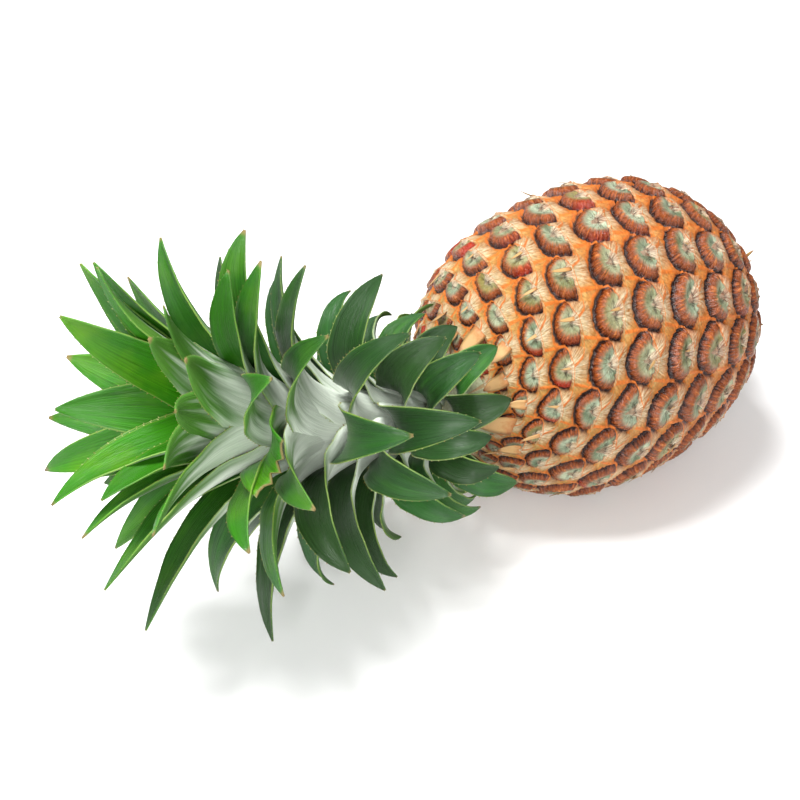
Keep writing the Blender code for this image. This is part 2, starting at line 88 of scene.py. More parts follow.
class MixSide(Enum):
    """Sockets of a Mix node for colours and for vectors: first input, second input, output."""

    COLOUR = ("RGBA", 6, 7, 2)
    VECTOR = ("VECTOR", 4, 5, 1)
    NUMBER = ("FLOAT", 2, 3, 0)


# Small helpers

def linear(hex_colour: str) -> Colour:
    """Turns an sRGB hex colour into linear red, green, blue and alpha.

    Args:
        hex_colour: Six hex digits after a hash.

    Returns:
        The linear colour with an alpha of 1.
    """
    channels = []
    for start in (1, 3, 5):
        value = int(hex_colour[start:start + 2], 16) / 255.0
        channels.append(value / 12.92 if value <= 0.04045 else ((value + 0.055) / 1.055) ** 2.4)
    return (channels[0], channels[1], channels[2], 1.0)


def soft_step(low: float, high: float, value: Array | float) -> Array:
    """Smooth ramp from 0 at low to 1 at high.

    Args:
        low: Value at which the ramp starts.
        high: Value at which it is full.
        value: What is measured.

    Returns:
        The height of the ramp, 0 to 1.
    """
    share = np.clip((np.asarray(value, dtype=float) - low) / (high - low), 0.0, 1.0)
    return share * share * (3.0 - 2.0 * share)


def unit(rows: Array) -> Array:
    """Directions of one length, from a row or rows of x, y and z."""
    return rows / np.linalg.norm(rows, axis=-1, keepdims=True)


def chance(number: Array | float, salt: int) -> Array:
    """Fixed draw between 0 and 1 for an eye's number.

    Args:
        number: The eye's number along the spiral.
        salt: Tells one draw from another.

    Returns:
        The draw.
    """
    wave = np.sin(np.asarray(number, dtype=float) * EYE_CHANCE + salt * SALT_CHANCE) * CHANCE_SPREAD
    return wave - np.floor(wave)


def add_node(
    tree: bpy.types.NodeTree,
    kind: str,
    inputs: dict[int | str, object] | None = None,
    **settings: object,
) -> bpy.types.Node:
    """Adds one node with its settings, values and links.

    Args:
        tree: Tree that gets the node.
        kind: Blender's name of the node's type.
        inputs: Socket number or name, with a value to set or an output socket to link.
        **settings: Properties of the node, set before its inputs.

    Returns:
        The new node.
    """
    node = tree.nodes.new(kind)
    for name, value in settings.items():
        setattr(node, name, value)
    for key, value in (inputs or {}).items():
        if isinstance(value, bpy.types.NodeSocket):
            tree.links.new(value, node.inputs[key])
        else:
            node.inputs[key].default_value = value
    return node


def new_material(name: str) -> tuple[bpy.types.Material, bpy.types.NodeTree, bpy.types.Node]:
    """Makes an empty material with a Principled BSDF.

    Args:
        name: What the real finish is.

    Returns:
        The material, its tree and its shader node.
    """
    material = bpy.data.materials.new(name)
    material.use_nodes = True
    tree = material.node_tree
    return material, tree, tree.nodes["Principled BSDF"]


def link_object(name: str, data: bpy.types.ID) -> bpy.types.Object:
    """Puts a mesh, lamp or camera in the scene, as an object at the origin."""
    piece = bpy.data.objects.new(name, data)
    bpy.context.scene.collection.objects.link(piece)
    return piece


def set_trait(mesh: bpy.types.Mesh, name: str, values: Array | list[float], domain: str = "POINT") -> None:
    """Writes one named number for each point or corner of a mesh."""
    mesh.attributes.new(name, "FLOAT", domain).data.foreach_set("value", values)


def mesh_object(name: str, points: Array, faces: list[tuple[int, ...]] | Array) -> bpy.types.Object:
    """Makes a smooth shaded mesh object at the origin.

    Args:
        name: Name of the piece.
        points: One row of x, y and z for each vertex.
        faces: Corners of each face.

    Returns:
        The object, linked to the scene.
    """
    mesh = bpy.data.meshes.new(name)
    mesh.from_pydata(np.asarray(points).tolist(), [], [tuple(int(i) for i in face) for face in faces])
    mesh.shade_smooth()
    return link_object(name, mesh)


def wear(piece: bpy.types.Object, material: bpy.types.Material) -> None:
    """Gives a piece one material."""
    piece.data.materials.clear()
    piece.data.materials.append(material)


def enlist(piece: bpy.types.Object, slot: Slot, *nodes: str) -> None:
    """Hangs a finished piece on the root body, hides the CAD nodes it stands for and logs its triangles.

    Args:
        piece: The piece.
        slot: Material slot of the record; not used.
        *nodes: CAD nodes that the piece stands for.
    """
    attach(piece, "root")
    if nodes:
        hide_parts(*nodes)
    triangles = sum(len(face.vertices) - 2 for face in piece.data.polygons)
    LOG.info("%s: %d triangles", piece.name, triangles)


# Fruit: body and eyes

@dataclass
class Body:
    """Smooth body of the fruit, measured by reach: the distance along it in local eye scales."""

    centre: Vector
    radius: float = 0.0596
    half_length: float = 0.0750
    profile_power: float = 2.56
    crown_end_radius: float = 0.0190
    stalk_end_radius: float = 0.0165
    end_eye_radius: float = 0.55
    samples: int = 3001

    def __post_init__(self) -> None:
        """Works out the tables of radius, normal and reach along the body."""
        turn = np.linspace(-math.pi / 2, math.pi / 2, self.samples)
        x = self.half_length * np.sin(turn)
        low = -self.end_reach(self.crown_end_radius)
        high = self.end_reach(self.stalk_end_radius)
        self.x = x[(x > low) & (x < high)]
        self.r = self.profile(self.x)
        dx = np.gradient(self.x)
        dr = np.gradient(self.r)
        step = np.hypot(dx, dr)
        self.normal_x = -dr / step
        self.normal_r = dx / step
        steady = (self.end_eye_radius * self.radius) ** 4
        scale = ((self.r ** 4 + steady) / (1.0 + self.end_eye_radius ** 4)) ** 0.25
        pace = step / scale
        reach = np.concatenate([[0.0], np.cumsum(0.5 * (pace[1:] + pace[:-1]))])
        self.reach = reach - np.interp(0.0, self.x, reach)

    def profile(self, x: Array) -> Array:
        """Radius of the body at distances from its middle."""
        share = np.abs(x / self.half_length) ** self.profile_power
        return self.radius * np.sqrt(np.clip(1.0 - share, 0.0, 1.0))

    def end_reach(self, radius: float) -> float:
        """Distance from the middle at which the body has narrowed to a radius."""
        share = 1.0 - (radius / self.radius) ** 2
        return self.half_length * share ** (1.0 / self.profile_power)

    def points(self, reach: Array, angle: Array, height: Array) -> Array:
        """Places on the body.

        Args:
            reach: Reach of each point.
            angle: Angle of each point about the axis.
            height: How far it is raised, as a part of the local radius.

        Returns:
            One row of x, y and z for each point, in the frame.
        """
        r = np.interp(reach, self.reach, self.r)
        x = np.interp(reach, self.reach, self.x) + np.interp(reach, self.reach, self.normal_x) * height * r
        out = r + np.interp(reach, self.reach, self.normal_r) * height * r
        return np.stack([x, out * np.cos(angle), out * np.sin(angle)], axis=-1) + np.array(self.centre)


@dataclass(frozen=True)
class EyePattern:
    """Where the eyes sit and what their relief is. Sizes are parts of the local radius."""

    turn: float = math.radians(-99.7706)
    rise: float = 0.01612
    first_angle: float = math.radians(136.8)
    first_reach: float = -0.224
    row_a: int = 18
    row_b: int = -11
    shear: float = 0.25
    centre: float = -0.016
    to_crown: float = 0.156
    to_stalk: float = 0.026
    half_width: float = 0.170
    power: float = 1.9
    cell_to_stalk: float = 0.120
    cushion_height: float = 0.060
    cushion_middle: float = 0.42
    groove_depth: float = 0.030
    bract_height: float = 0.042
    bract_half_width: float = 0.16
    bract_reach: float = 0.17
    net_height: float = 0.012
    net_width: float = 0.16
    lip_metric: float = 1.17
    tip_reach: float = 0.075
    tip_half_width: float = 0.060
    tip_lift: float = 0.016
    relief_fade: float = 0.22
    fan_centre: float = -0.01
    scallop: float = 0.030
    scallop_count: int = 17
    wrinkle: float = 0.0050
    wrinkle_count: int = 23
    fibre: float = 0.0022
    fibre_count: int = 15
    unevenness: float = 0.009
    groove_place: float = 1.04
    groove_width: float = 0.09
    fold_place: float = 0.84
    fold_width: float = 0.13
    lip_width: float = 0.06
    crack_place: float = 0.035
    crack_width: float = 0.012
    crack_half_length: float = 0.05
    crack_depth: float = 0.008
    fibre_centre: float = 0.06

    def steps(self) -> tuple[tuple[float, float], tuple[float, float]]:
        """Reach and angle from an eye to its next in the two rows."""
        pairs = []
        for count in (self.row_a, self.row_b):
            pairs.append((count * self.rise, math.remainder(count * self.turn, math.tau)))
        return pairs[0], pairs[1]

    def rows(self, reach: Array, angle: Array) -> tuple[Array, Array]:
        """Place of each point in the two rows of eyes, whole numbers at the eyes.

        Args:
            reach: Reach of each point.
            angle: Angle of each point.

        Returns:
            The place along row a and along row b.
        """
        (reach_a, angle_a), (reach_b, angle_b) = self.steps()
        area = reach_a * angle_b - reach_b * angle_a
        d_reach = reach - self.first_reach
        d_angle = angle - self.first_angle
        return (d_reach * angle_b - reach_b * d_angle) / area, (reach_a * d_angle - d_reach * angle_a) / area

    def stray(self, reach: Array, angle: Array) -> tuple[Array, Array]:
        """Moves the rows a little, so no two eyes are quite alike.

        Args:
            reach: Reach of each point.
            angle: Angle of each point.

        Returns:
            The reach and angle to use for the pattern.
        """
        moved_reach = (reach + self.unevenness
                       * (np.sin(7.0 * angle + 9.0 * reach) + np.sin(13.0 * reach - 4.0 * angle)))
        moved_angle = (angle + self.unevenness
                       * (np.sin(11.0 * reach + 5.0 * angle) + np.sin(9.0 * angle - 14.0 * reach)))
        return moved_reach, moved_angle

    def cushion(self, along: Array, across: Array) -> Array:
        """1 on the cushion's rim, 0 at its middle."""
        offset = along - self.centre
        size = np.where(offset < 0.0, self.to_crown, self.to_stalk)
        total = (np.abs(offset) / size) ** self.power + (np.abs(across) / self.half_width) ** self.power
        return total ** (1.0 / self.power)

    def cell(self, along: Array, across: Array) -> Array:
        """Grows away from an eye; the smallest one owns a point."""
        offset = along - self.centre
        size = np.where(offset < 0.0, self.to_crown, self.cell_to_stalk)
        return np.hypot(offset / size, across / self.half_width)

    def find(self, reach: Array, angle: Array) -> list[Array]:
        """Finds the eye that owns each point.

        Args:
            reach: Reach of each point.
            angle: Angle of each point.

        Returns:
            Along, across, the eye's number, the cell's metric, and the metrics of the nearest two cushions.
        """
        (reach_a, angle_a), (reach_b, angle_b) = self.steps()
        row_a, row_b = self.rows(reach, angle)
        near_a = np.rint(row_a)
        near_b = np.rint(row_b)
        best: list[Array] = []
        for step_a in (-1, 0, 1):
            for step_b in (-1, 0, 1):
                left_a = row_a - near_a - step_a
                left_b = row_b - near_b - step_b
                across = left_a * angle_a + left_b * angle_b
                along = left_a * reach_a + left_b * reach_b + self.shear * across
                number = self.row_a * (near_a + step_a) + self.row_b * (near_b + step_b)
                cushion = self.cushion(along, across)
                found = [along, across, number, self.cell(along, across)]
                if not best:
                    best = found + [cushion, cushion + 1.0]
                    continue
                closer = found[3] < best[3]
                second = np.minimum(best[5], np.maximum(best[4], cushion))
                lowest = np.minimum(best[4], cushion)
                best = [np.where(closer, new, old) for new, old in zip(found, best)] + [lowest, second]
        return best

    def tongue(self, along: Array, across: Array, number: Array) -> Array:
        """Dry tip of the bract that lies over the eye's middle: 1 along its ridge, 0 beside it."""
        tip_reach = self.tip_reach * (0.7 + 0.7 * chance(number, 2) ** 2)
        along_tip = np.clip((along + tip_reach) / tip_reach, 0.0, 1.0)
        tongue = np.clip(1.0 - np.abs(across) / (self.tip_half_width * along_tip ** 1.3 + 1e-6), 0.0, 1.0)
        return tongue * soft_step(0.07, 0.01, along) * (along > -tip_reach)

    def relief(self, body: Body, reach: Array, angle: Array) -> tuple[Array, Array]:
        """Height of the skin over the smooth body.

        Args:
            body: The smooth body.
            reach: Reach of each point.
            angle: Angle of each point.

        Returns:
            Height in local radii, and how far each point is on a bract's dry tip.
        """
        along, across, number, _, cushion, second = self.find(*self.stray(reach, angle))
        fan = np.arctan2(across, self.fan_centre - along)
        phase = math.tau * chance(number, FOLD_SALT)
        scallops = np.sin(self.scallop_count * fan + phase) + 0.6 * np.sin(9.0 * fan + 2.0 * phase)
        edge = cushion * (1.0 + self.scallop * 0.6 * scallops * soft_step(0.5, 0.9, cushion))
        rim = np.clip(edge, 0.0, 1.0)
        level = self.cushion_middle + (1.0 - self.cushion_middle) * soft_step(0.25, 0.75, rim)
        dome = self.cushion_height * (1.0 - rim ** 4) * level * (0.85 + 0.3 * chance(number, 1))
        dome = dome * (1.0 - 0.25 * soft_step(-0.12, 0.0, along))
        folds = np.sin(self.wrinkle_count * fan + 2.3 * phase + 1.5 * np.sin(5.0 * fan))
        dome = (dome + self.wrinkle * folds * np.exp(-((edge - self.fold_place) / self.fold_width) ** 2)
                * soft_step(0.02, -0.03, along))
        crack = np.exp(-((along + self.crack_place) / self.crack_width) ** 2)
        crack = crack * np.exp(-(across / self.crack_half_length) ** 2)
        dome = dome - self.crack_depth * crack
        ridge = soft_step(self.net_width, 0.0, second - cushion)
        open_side = np.maximum(soft_step(0.03, -0.03, along), soft_step(0.04, 0.09, along))
        groove = (self.groove_depth * np.exp(-((edge - self.groove_place) / self.groove_width) ** 2)
                  * open_side * (1.0 - 0.6 * ridge))
        outside = soft_step(0.94, 1.10, edge)
        lip = np.exp(-((edge - self.lip_metric) / self.lip_width) ** 2) * soft_step(0.03, -0.03, along)
        net = self.net_height * np.maximum(ridge * soft_step(0.86, 1.0, edge), lip)
        back = (np.clip(1.0 - (across / self.bract_half_width) ** 2, 0.0, 1.0)
                * soft_step(self.bract_reach, 0.0, along))
        bract = outside * self.bract_height * back * soft_step(-0.04, 0.02, along)
        spread = np.arctan2(across, along + self.fibre_centre)
        fibres = outside * self.fibre * np.sin(self.fibre_count * 2.0 * spread + phase)
        tongue = self.tongue(along, across, number)
        tip = self.tip_lift * (0.7 + 0.8 * chance(number, 3)) * np.minimum(tongue * 1.8, 1.0)
        tip = tip + self.cushion_middle * self.cushion_height * soft_step(0.0, 0.3, tongue)
        height = np.maximum(np.maximum(dome, tip), bract) + net + fibres - groove
        ends = soft_step(body.reach[0], body.reach[0] + self.relief_fade, reach)
        return height * ends * soft_step(body.reach[-1], body.reach[-1] - self.relief_fade, reach), tongue


@dataclass
class Fruit:
    """Skin of the fruit: one closed mesh with every eye in relief."""

    body: Body
    eyes: EyePattern
    around: int = 432
    lengthwise: int = 214

    def build(self) -> bpy.types.Object:
        """Makes the skin's mesh, with a UV map that counts the rows of eyes.

        Returns:
            The skin.
        """
        reach = np.linspace(self.body.reach[0], self.body.reach[-1], self.lengthwise)
        angle = np.linspace(0.0, math.tau, self.around, endpoint=False)
        grid_reach, grid_angle = np.meshgrid(reach, angle, indexing="ij")
        height, tongue = self.eyes.relief(self.body, grid_reach, grid_angle)
        points = self.body.points(grid_reach, grid_angle, height).reshape(-1, 3)
        points[:, 2] = np.maximum(points[:, 2], 0.0)
        row, column = np.meshgrid(np.arange(self.lengthwise - 1), np.arange(self.around), indexing="ij")
        beside = (column + 1) % self.around
        low = row * self.around
        high = low + self.around
        faces = np.stack([low + column, low + beside, high + beside, high + column], axis=-1).reshape(-1, 4)
        caps, points = self.close_ends(points)
        piece = mesh_object("fruit_skin", points, faces.tolist() + caps)
        corner_reach = np.stack([reach[row], reach[row], reach[row + 1], reach[row + 1]], axis=-1)
        step = math.tau / self.around
        corner_angle = np.stack([column, column + 1, column + 1, column], axis=-1) * step
        strayed = self.eyes.stray(corner_reach, corner_angle)
        rows = np.stack(self.eyes.rows(*strayed), axis=-1).reshape(-1)
        layer = piece.data.uv_layers.new(name="eye_rows")
        values = np.zeros(len(piece.data.loops) * 2, dtype=np.float32)
        values[:len(rows)] = rows
        layer.data.foreach_set("uv", values)
        dry = np.zeros(len(points), dtype=np.float32)
        dry[:tongue.size] = tongue.reshape(-1)
        set_trait(piece.data, "tongue", dry)
        return piece

    def close_ends(self, points: Array) -> tuple[list[tuple[int, ...]], Array]:
        """Closes both ends of the skin round a middle point.

        Args:
            points: Points of the open skin.

        Returns:
            The end faces, and the points with the two middles added.
        """
        ends = (np.array([[self.body.x[0], 0.0, 0.0], [self.body.x[-1], 0.0, 0.0]])
                + np.array(self.body.centre))
        last = len(points)
        start = last - self.around
        faces: list[tuple[int, ...]] = []
        for index in range(self.around):
            other = (index + 1) % self.around
            faces.append((other, index, last))
            faces.append((start + index, start + other, last + 1))
        return faces, np.concatenate([points, ends])


def eye_field(eyes: EyePattern) -> bpy.types.NodeTree:
    """Node group that finds the eye that owns a point from the rows in the UV map.

    Args:
        eyes: The pattern of the eyes.

    Returns:
        A group with the outputs along, across, number, and the metrics of the nearest two cushions.
    """
    tree = bpy.data.node_groups.new("eye_field", "ShaderNodeTree")
    tree.interface.new_socket("Rows", in_out="INPUT", socket_type="NodeSocketVector")
    for name in ("Along", "Across", "Number", "Cushion", "Next"):
        tree.interface.new_socket(name, in_out="OUTPUT", socket_type="NodeSocketFloat")
    rows = add_node(tree, "NodeGroupInput").outputs[0]
    (reach_a, angle_a), (reach_b, angle_b) = eyes.steps()
    along_way = (reach_a + eyes.shear * angle_a, reach_b + eyes.shear * angle_b, 0.0)
    area = reach_a * angle_b - reach_b * angle_a
    middle = eyes.centre + 0.5 * (eyes.cell_to_stalk - eyes.to_crown)
    shift = (-middle * angle_b / area, middle * angle_a / area, 0.0)
    moved = add_node(tree, VECTOR_MATH, {0: rows, 1: shift}, operation="ADD").outputs[0]
    corner = add_node(tree, VECTOR_MATH, {0: moved}, operation="FLOOR").outputs[0]
    inside = add_node(tree, VECTOR_MATH, {0: rows, 1: corner}, operation="SUBTRACT").outputs[0]
    count = (float(eyes.row_a), float(eyes.row_b), 0.0)
    first = add_node(tree, VECTOR_MATH, {0: corner, 1: count}, operation="DOT_PRODUCT").outputs[1]
    best: list[bpy.types.NodeSocket] = []
    for step_a, step_b in ((0, 0), (1, 0), (0, 1), (1, 1)):
        left = add_node(tree, VECTOR_MATH, {0: inside, 1: (step_a, step_b, 0.0)}, operation="SUBTRACT").outputs[0]
        across = add_node(tree, VECTOR_MATH, {0: left, 1: (angle_a, angle_b, 0.0)}, operation="DOT_PRODUCT").outputs[1]
        along = add_node(tree, VECTOR_MATH, {0: left, 1: along_way}, operation="DOT_PRODUCT").outputs[1]
        offset = add_node(tree, MATH, {0: along, 1: eyes.centre}, operation="SUBTRACT").outputs[0]
        crownward = add_node(tree, MATH, {0: offset, 1: -1.0 / eyes.to_crown}, operation="MULTIPLY").outputs[0]
        stalkward = add_node(tree, MATH, {0: offset, 1: 1.0 / eyes.to_stalk}, operation="MULTIPLY").outputs[0]
        cellward = add_node(tree, MATH, {0: offset, 1: 1.0 / eyes.cell_to_stalk}, operation="MULTIPLY").outputs[0]
        narrow = add_node(tree, MATH, {0: crownward, 1: stalkward}, operation="MAXIMUM").outputs[0]
        wide = add_node(tree, MATH, {0: crownward, 1: cellward}, operation="MAXIMUM").outputs[0]
        side = add_node(tree, MATH, {0: across, 1: 1.0 / eyes.half_width}, operation="MULTIPLY").outputs[0]
        side = add_node(tree, MATH, {0: side}, operation="ABSOLUTE").outputs[0]
        narrow = add_node(tree, MATH, {0: narrow, 1: eyes.power}, operation="POWER").outputs[0]
        raised = add_node(tree, MATH, {0: side, 1: eyes.power}, operation="POWER").outputs[0]
        cushion = add_node(tree, MATH, {0: narrow, 1: raised}, operation="ADD").outputs[0]
        wide = add_node(tree, MATH, {0: wide, 1: wide}, operation="MULTIPLY").outputs[0]
        cell = add_node(tree, MATH, {0: side, 1: side, 2: wide}, operation="MULTIPLY_ADD").outputs[0]
        ahead = float(step_a * eyes.row_a + step_b * eyes.row_b)
        number = add_node(tree, MATH, {0: first, 1: ahead}, operation="ADD").outputs[0]
        place = add_node(tree, COMBINE, {0: along, 1: across, 2: number}).outputs[0]
        if not best:
            best = [place, cell, cushion, add_node(tree, MATH, {0: cushion, 1: 9.0}, operation="ADD").outputs[0]]
            continue
        closer = add_node(tree, MATH, {0: cell, 1: best[1]}, operation="LESS_THAN").outputs[0]
        kind, one, two, out = MixSide.VECTOR.value
        place = add_node(tree, MIX, {0: closer, one: best[0], two: place}, data_type=kind).outputs[out]
        cell = add_node(tree, MATH, {0: cell, 1: best[1]}, operation="MINIMUM").outputs[0]
        farther = add_node(tree, MATH, {0: cushion, 1: best[2]}, operation="MAXIMUM").outputs[0]
        second = add_node(tree, MATH, {0: farther, 1: best[3]}, operation="MINIMUM").outputs[0]
        cushion = add_node(tree, MATH, {0: cushion, 1: best[2]}, operation="MINIMUM").outputs[0]
        best = [place, cell, cushion, second]
    metric = add_node(tree, MATH, {0: best[2], 1: 1.0 / eyes.power}, operation="POWER").outputs[0]
    second = add_node(tree, MATH, {0: best[3], 1: 1.0 / eyes.power}, operation="POWER").outputs[0]
    split = add_node(tree, "ShaderNodeSeparateXYZ", {0: best[0]}).outputs
    add_node(tree, "NodeGroupOutput", {0: split[0], 1: split[1], 2: split[2], 3: metric, 4: second})
    return tree


@dataclass(frozen=True)
class WaxySkin:
    """Waxy pineapple skin, grown: glossy brown cushions, grey-green eye middles, matt tan and orange bracts."""

    eyes: EyePattern
    rim_dark: str = "#351004"
    rim_light: str = "#93481C"
    # Beads on the rim's folds: their lighter colour is partly their own and partly a painted highlight
    bead_highlight: str = "#D98A48"
    middle_brown: str = "#745426"
    middle_dark: str = "#587350"
    middle_light: str = "#C0CDAE"
    # Painted shade in the groove round each cushion; the same dark colour also draws the crack in each eye's middle
    groove: str = "#1E0803"
    bract_edge: str = "#9C400E"
    bract_net: str = "#D8701A"
    bract_tan: str = "#BE7226"
    bract_pale: str = "#CBA05C"
    bract_green: str = "#9C9A58"
    fibre_white: str = "#E2D6B8"
    olive: str = "#9A7F1C"
    blush: str = "#AE2412"

    def make(self) -> bpy.types.Material:
        """Builds the skin's material.

        Returns:
            The material.
        """
        material, tree, shader = new_material("waxy_pineapple_skin")
        kind, one, two, out = MixSide.COLOUR.value
        smooth = {"interpolation_type": "SMOOTHSTEP"}
        eyes = self.eyes
        rows = add_node(tree, "ShaderNodeUVMap", uv_map="eye_rows").outputs[0]
        group = add_node(tree, "ShaderNodeGroup", node_tree=eye_field(eyes))
        tree.links.new(rows, group.inputs[0])
        along, across, number, cushion, second = group.outputs
        place = add_node(tree, "ShaderNodeTexCoord").outputs["Object"]
        tongue = add_node(tree, "ShaderNodeAttribute", attribute_name="tongue").outputs["Fac"]
        dice = add_node(tree, "ShaderNodeTexWhiteNoise", {"W": number}, noise_dimensions="1D")
        draw = dice.outputs["Value"]
        draws = add_node(tree, "ShaderNodeSeparateColor", {0: dice.outputs["Color"]}).outputs
        grain = add_node(tree, NOISE, {"Vector": place, "Scale": 900.0, "Detail": 3.0, "Roughness": 0.6}).outputs[0]
        cloud = add_node(tree, NOISE, {"Vector": place, "Scale": 95.0, "Detail": 3.0, "Roughness": 0.55}).outputs[0]

        # The same scallops as in the relief, fanned out from the eye's straight side
        back = add_node(tree, MATH, {0: eyes.fan_centre, 1: along}, operation="SUBTRACT").outputs[0]
        fan = add_node(tree, MATH, {0: across, 1: back}, operation="ARCTAN2").outputs[0]
        salt = add_node(tree, MATH, {0: number, 1: EYE_CHANCE, 2: FOLD_SALT * SALT_CHANCE},
                        operation="MULTIPLY_ADD").outputs[0]
        salt = add_node(tree, MATH, {0: salt}, operation="SINE").outputs[0]
        salt = add_node(tree, MATH, {0: salt, 1: CHANCE_SPREAD}, operation="MULTIPLY").outputs[0]
        salt = add_node(tree, MATH, {0: salt}, operation="FRACT").outputs[0]
        phase = add_node(tree, MATH, {0: salt, 1: math.tau}, operation="MULTIPLY").outputs[0]
        wave = add_node(tree, MATH, {0: fan, 1: float(eyes.scallop_count), 2: phase}, operation="MULTIPLY_ADD")
        wave = add_node(tree, MATH, {0: wave.outputs[0]}, operation="SINE").outputs[0]
        rim_zone = add_node(tree, MAP_RANGE, {0: cushion, 1: 0.5, 2: 0.9, 4: 0.6 * eyes.scallop}, **smooth).outputs[0]
        wave = add_node(tree, MATH, {0: wave, 1: rim_zone, 2: 1.0}, operation="MULTIPLY_ADD").outputs[0]
        edge = add_node(tree, MATH, {0: cushion, 1: wave}, operation="MULTIPLY").outputs[0]

        # Fine streaks along the same fan
        spot = add_node(tree, COMBINE, {0: across, 1: back}).outputs[0]
        far = add_node(tree, VECTOR_MATH, {0: spot}, operation="LENGTH").outputs[1]
        fan_wide = add_node(tree, MATH, {0: fan, 1: 7.0}, operation="MULTIPLY").outputs[0]
        far_wide = add_node(tree, MATH, {0: far, 1: 9.0}, operation="MULTIPLY").outputs[0]
        layer = add_node(tree, MATH, {0: number, 1: 3.7}, operation="MULTIPLY").outputs[0]
        streak_place = add_node(tree, COMBINE, {0: fan_wide, 1: far_wide, 2: layer}).outputs[0]
        streak = add_node(tree, NOISE, {"Vector": streak_place, "Scale": 1.5, "Detail": 4.0, "Roughness": 0.68})
        streak = streak.outputs[0]

        # Brown rim of the cushion, with lighter beads on its folds whose colour is partly a painted highlight, and
        # painted shade that darkens it toward the groove
        # Painted shade: the rim is darkened toward its outer edge, where it curls down into the shaded groove
        toward = add_node(tree, MAP_RANGE, {0: edge, 1: 0.84, 2: 1.0, 4: 0.26}, **smooth).outputs[0]
        rim_tone = add_node(tree, MATH, {0: streak, 1: toward}, operation="SUBTRACT").outputs[0]
        rim_tone = add_node(tree, MAP_RANGE, {0: rim_tone, 1: 0.27, 2: 0.56}).outputs[0]
        rim = add_node(tree, MIX, {0: rim_tone, one: linear(self.rim_dark), two: linear(self.rim_light)},
                       data_type=kind).outputs[out]
        # Painted highlight, in part: lighter beads in a band just inside the rim
        bead_highlight = add_node(tree, MAP_RANGE, {0: streak, 1: 0.54, 2: 0.70}, **smooth).outputs[0]
        bead_highlight_band = add_node(tree, MAP_RANGE, {0: edge, 1: 0.92, 2: 0.80, 4: 0.8}, **smooth).outputs[0]
        bead_highlight = add_node(tree, MATH, {0: bead_highlight, 1: bead_highlight_band}, operation="MULTIPLY").outputs[0]
        rim = add_node(tree, MIX, {0: bead_highlight, one: rim, two: linear(self.bead_highlight)}, data_type=kind).outputs[out]

        # Half disc of grey-green streaks at the straight side of the eye
        middle_tone = add_node(tree, MATH, {0: streak, 1: 0.55, 2: cloud}, operation="MULTIPLY_ADD").outputs[0]
        middle_tone = add_node(tree, MAP_RANGE, {0: middle_tone, 1: 0.60, 2: 0.92}).outputs[0]
        middle = add_node(tree, MIX, {0: middle_tone, one: linear(self.middle_dark),
                                      two: linear(self.middle_light)}, data_type=kind).outputs[out]
        warm = add_node(tree, MAP_RANGE, {0: streak, 1: 0.49, 2: 0.37, 4: 0.7}, **smooth).outputs[0]
        middle = add_node(tree, MIX, {0: warm, one: middle, two: linear(self.middle_brown)},
                          data_type=kind).outputs[out]
        tint = add_node(tree, MAP_RANGE, {0: draw, 1: 0.35, 2: 0.95, 4: 0.6}).outputs[0]
        middle = add_node(tree, MIX, {0: tint, one: middle, two: linear(self.olive)}, data_type=kind).outputs[out]
        ragged = add_node(tree, MATH, {0: streak, 1: 0.075, 2: -0.0375}, operation="MULTIPLY_ADD").outputs[0]
        ragged = add_node(tree, MATH, {0: far, 1: ragged}, operation="ADD").outputs[0]
        to_rim = add_node(tree, MAP_RANGE, {0: ragged, 1: 0.078, 2: 0.130}, **smooth).outputs[0]
        eye = add_node(tree, MIX, {0: to_rim, one: middle, two: rim}, data_type=kind).outputs[out]
        blush_side = add_node(tree, MAP_RANGE, {0: across, 1: 0.02, 2: 0.12}, **smooth).outputs[0]
        blush = add_node(tree, MAP_RANGE, {0: draws[1], 1: 0.66, 2: 0.9, 4: 0.7}).outputs[0]
        blush = add_node(tree, MATH, {0: blush_side, 1: blush}, operation="MULTIPLY").outputs[0]
        blush = add_node(tree, MATH, {0: blush, 1: to_rim}, operation="MULTIPLY").outputs[0]
        eye = add_node(tree, MIX, {0: blush, one: eye, two: linear(self.blush)}, data_type=kind).outputs[out]

        # Bract: streaked tan and cream, orange toward the next eyes, white fibres where it narrows to its tip
        spread_place = add_node(tree, MATH, {0: along, 1: 0.06}, operation="ADD").outputs[0]
        spread = add_node(tree, MATH, {0: across, 1: spread_place}, operation="ARCTAN2").outputs[0]
        spread_wide = add_node(tree, MATH, {0: spread, 1: 11.0}, operation="MULTIPLY").outputs[0]
        fibre_place = add_node(tree, COMBINE, {0: spread_wide, 1: far_wide, 2: layer}).outputs[0]
        fibre = add_node(tree, NOISE, {"Vector": fibre_place, "Scale": 1.6, "Detail": 5.0, "Roughness": 0.7})
        fibre = fibre.outputs[0]
        worn = add_node(tree, MATH, {0: fibre, 1: 0.9, 2: -0.45}, operation="MULTIPLY_ADD").outputs[0]
        worn = add_node(tree, MATH, {0: cushion, 1: worn}, operation="ADD").outputs[0]
        tan = add_node(tree, MAP_RANGE, {0: worn, 1: 1.00, 2: 1.28}, **smooth).outputs[0]
        pale = add_node(tree, MAP_RANGE, {0: worn, 1: 1.30, 2: 1.75, 4: 0.85}, **smooth).outputs[0]
        bract = add_node(tree, MIX, {0: tan, one: linear(self.bract_edge), two: linear(self.bract_tan)},
                         data_type=kind).outputs[out]
        bract = add_node(tree, MIX, {0: pale, one: bract, two: linear(self.bract_pale)},
                         data_type=kind).outputs[out]
        length = add_node(tree, "ShaderNodeSeparateXYZ", {0: place}).outputs[0]
        unripe = add_node(tree, MAP_RANGE, {0: length, 1: 0.070, 2: 0.0, 4: 0.8}).outputs[0]
        unripe = add_node(tree, MATH, {0: unripe, 1: cloud}, operation="MULTIPLY").outputs[0]
        bract = add_node(tree, MIX, {0: unripe, one: bract, two: linear(self.bract_green)},
                         data_type=kind).outputs[out]
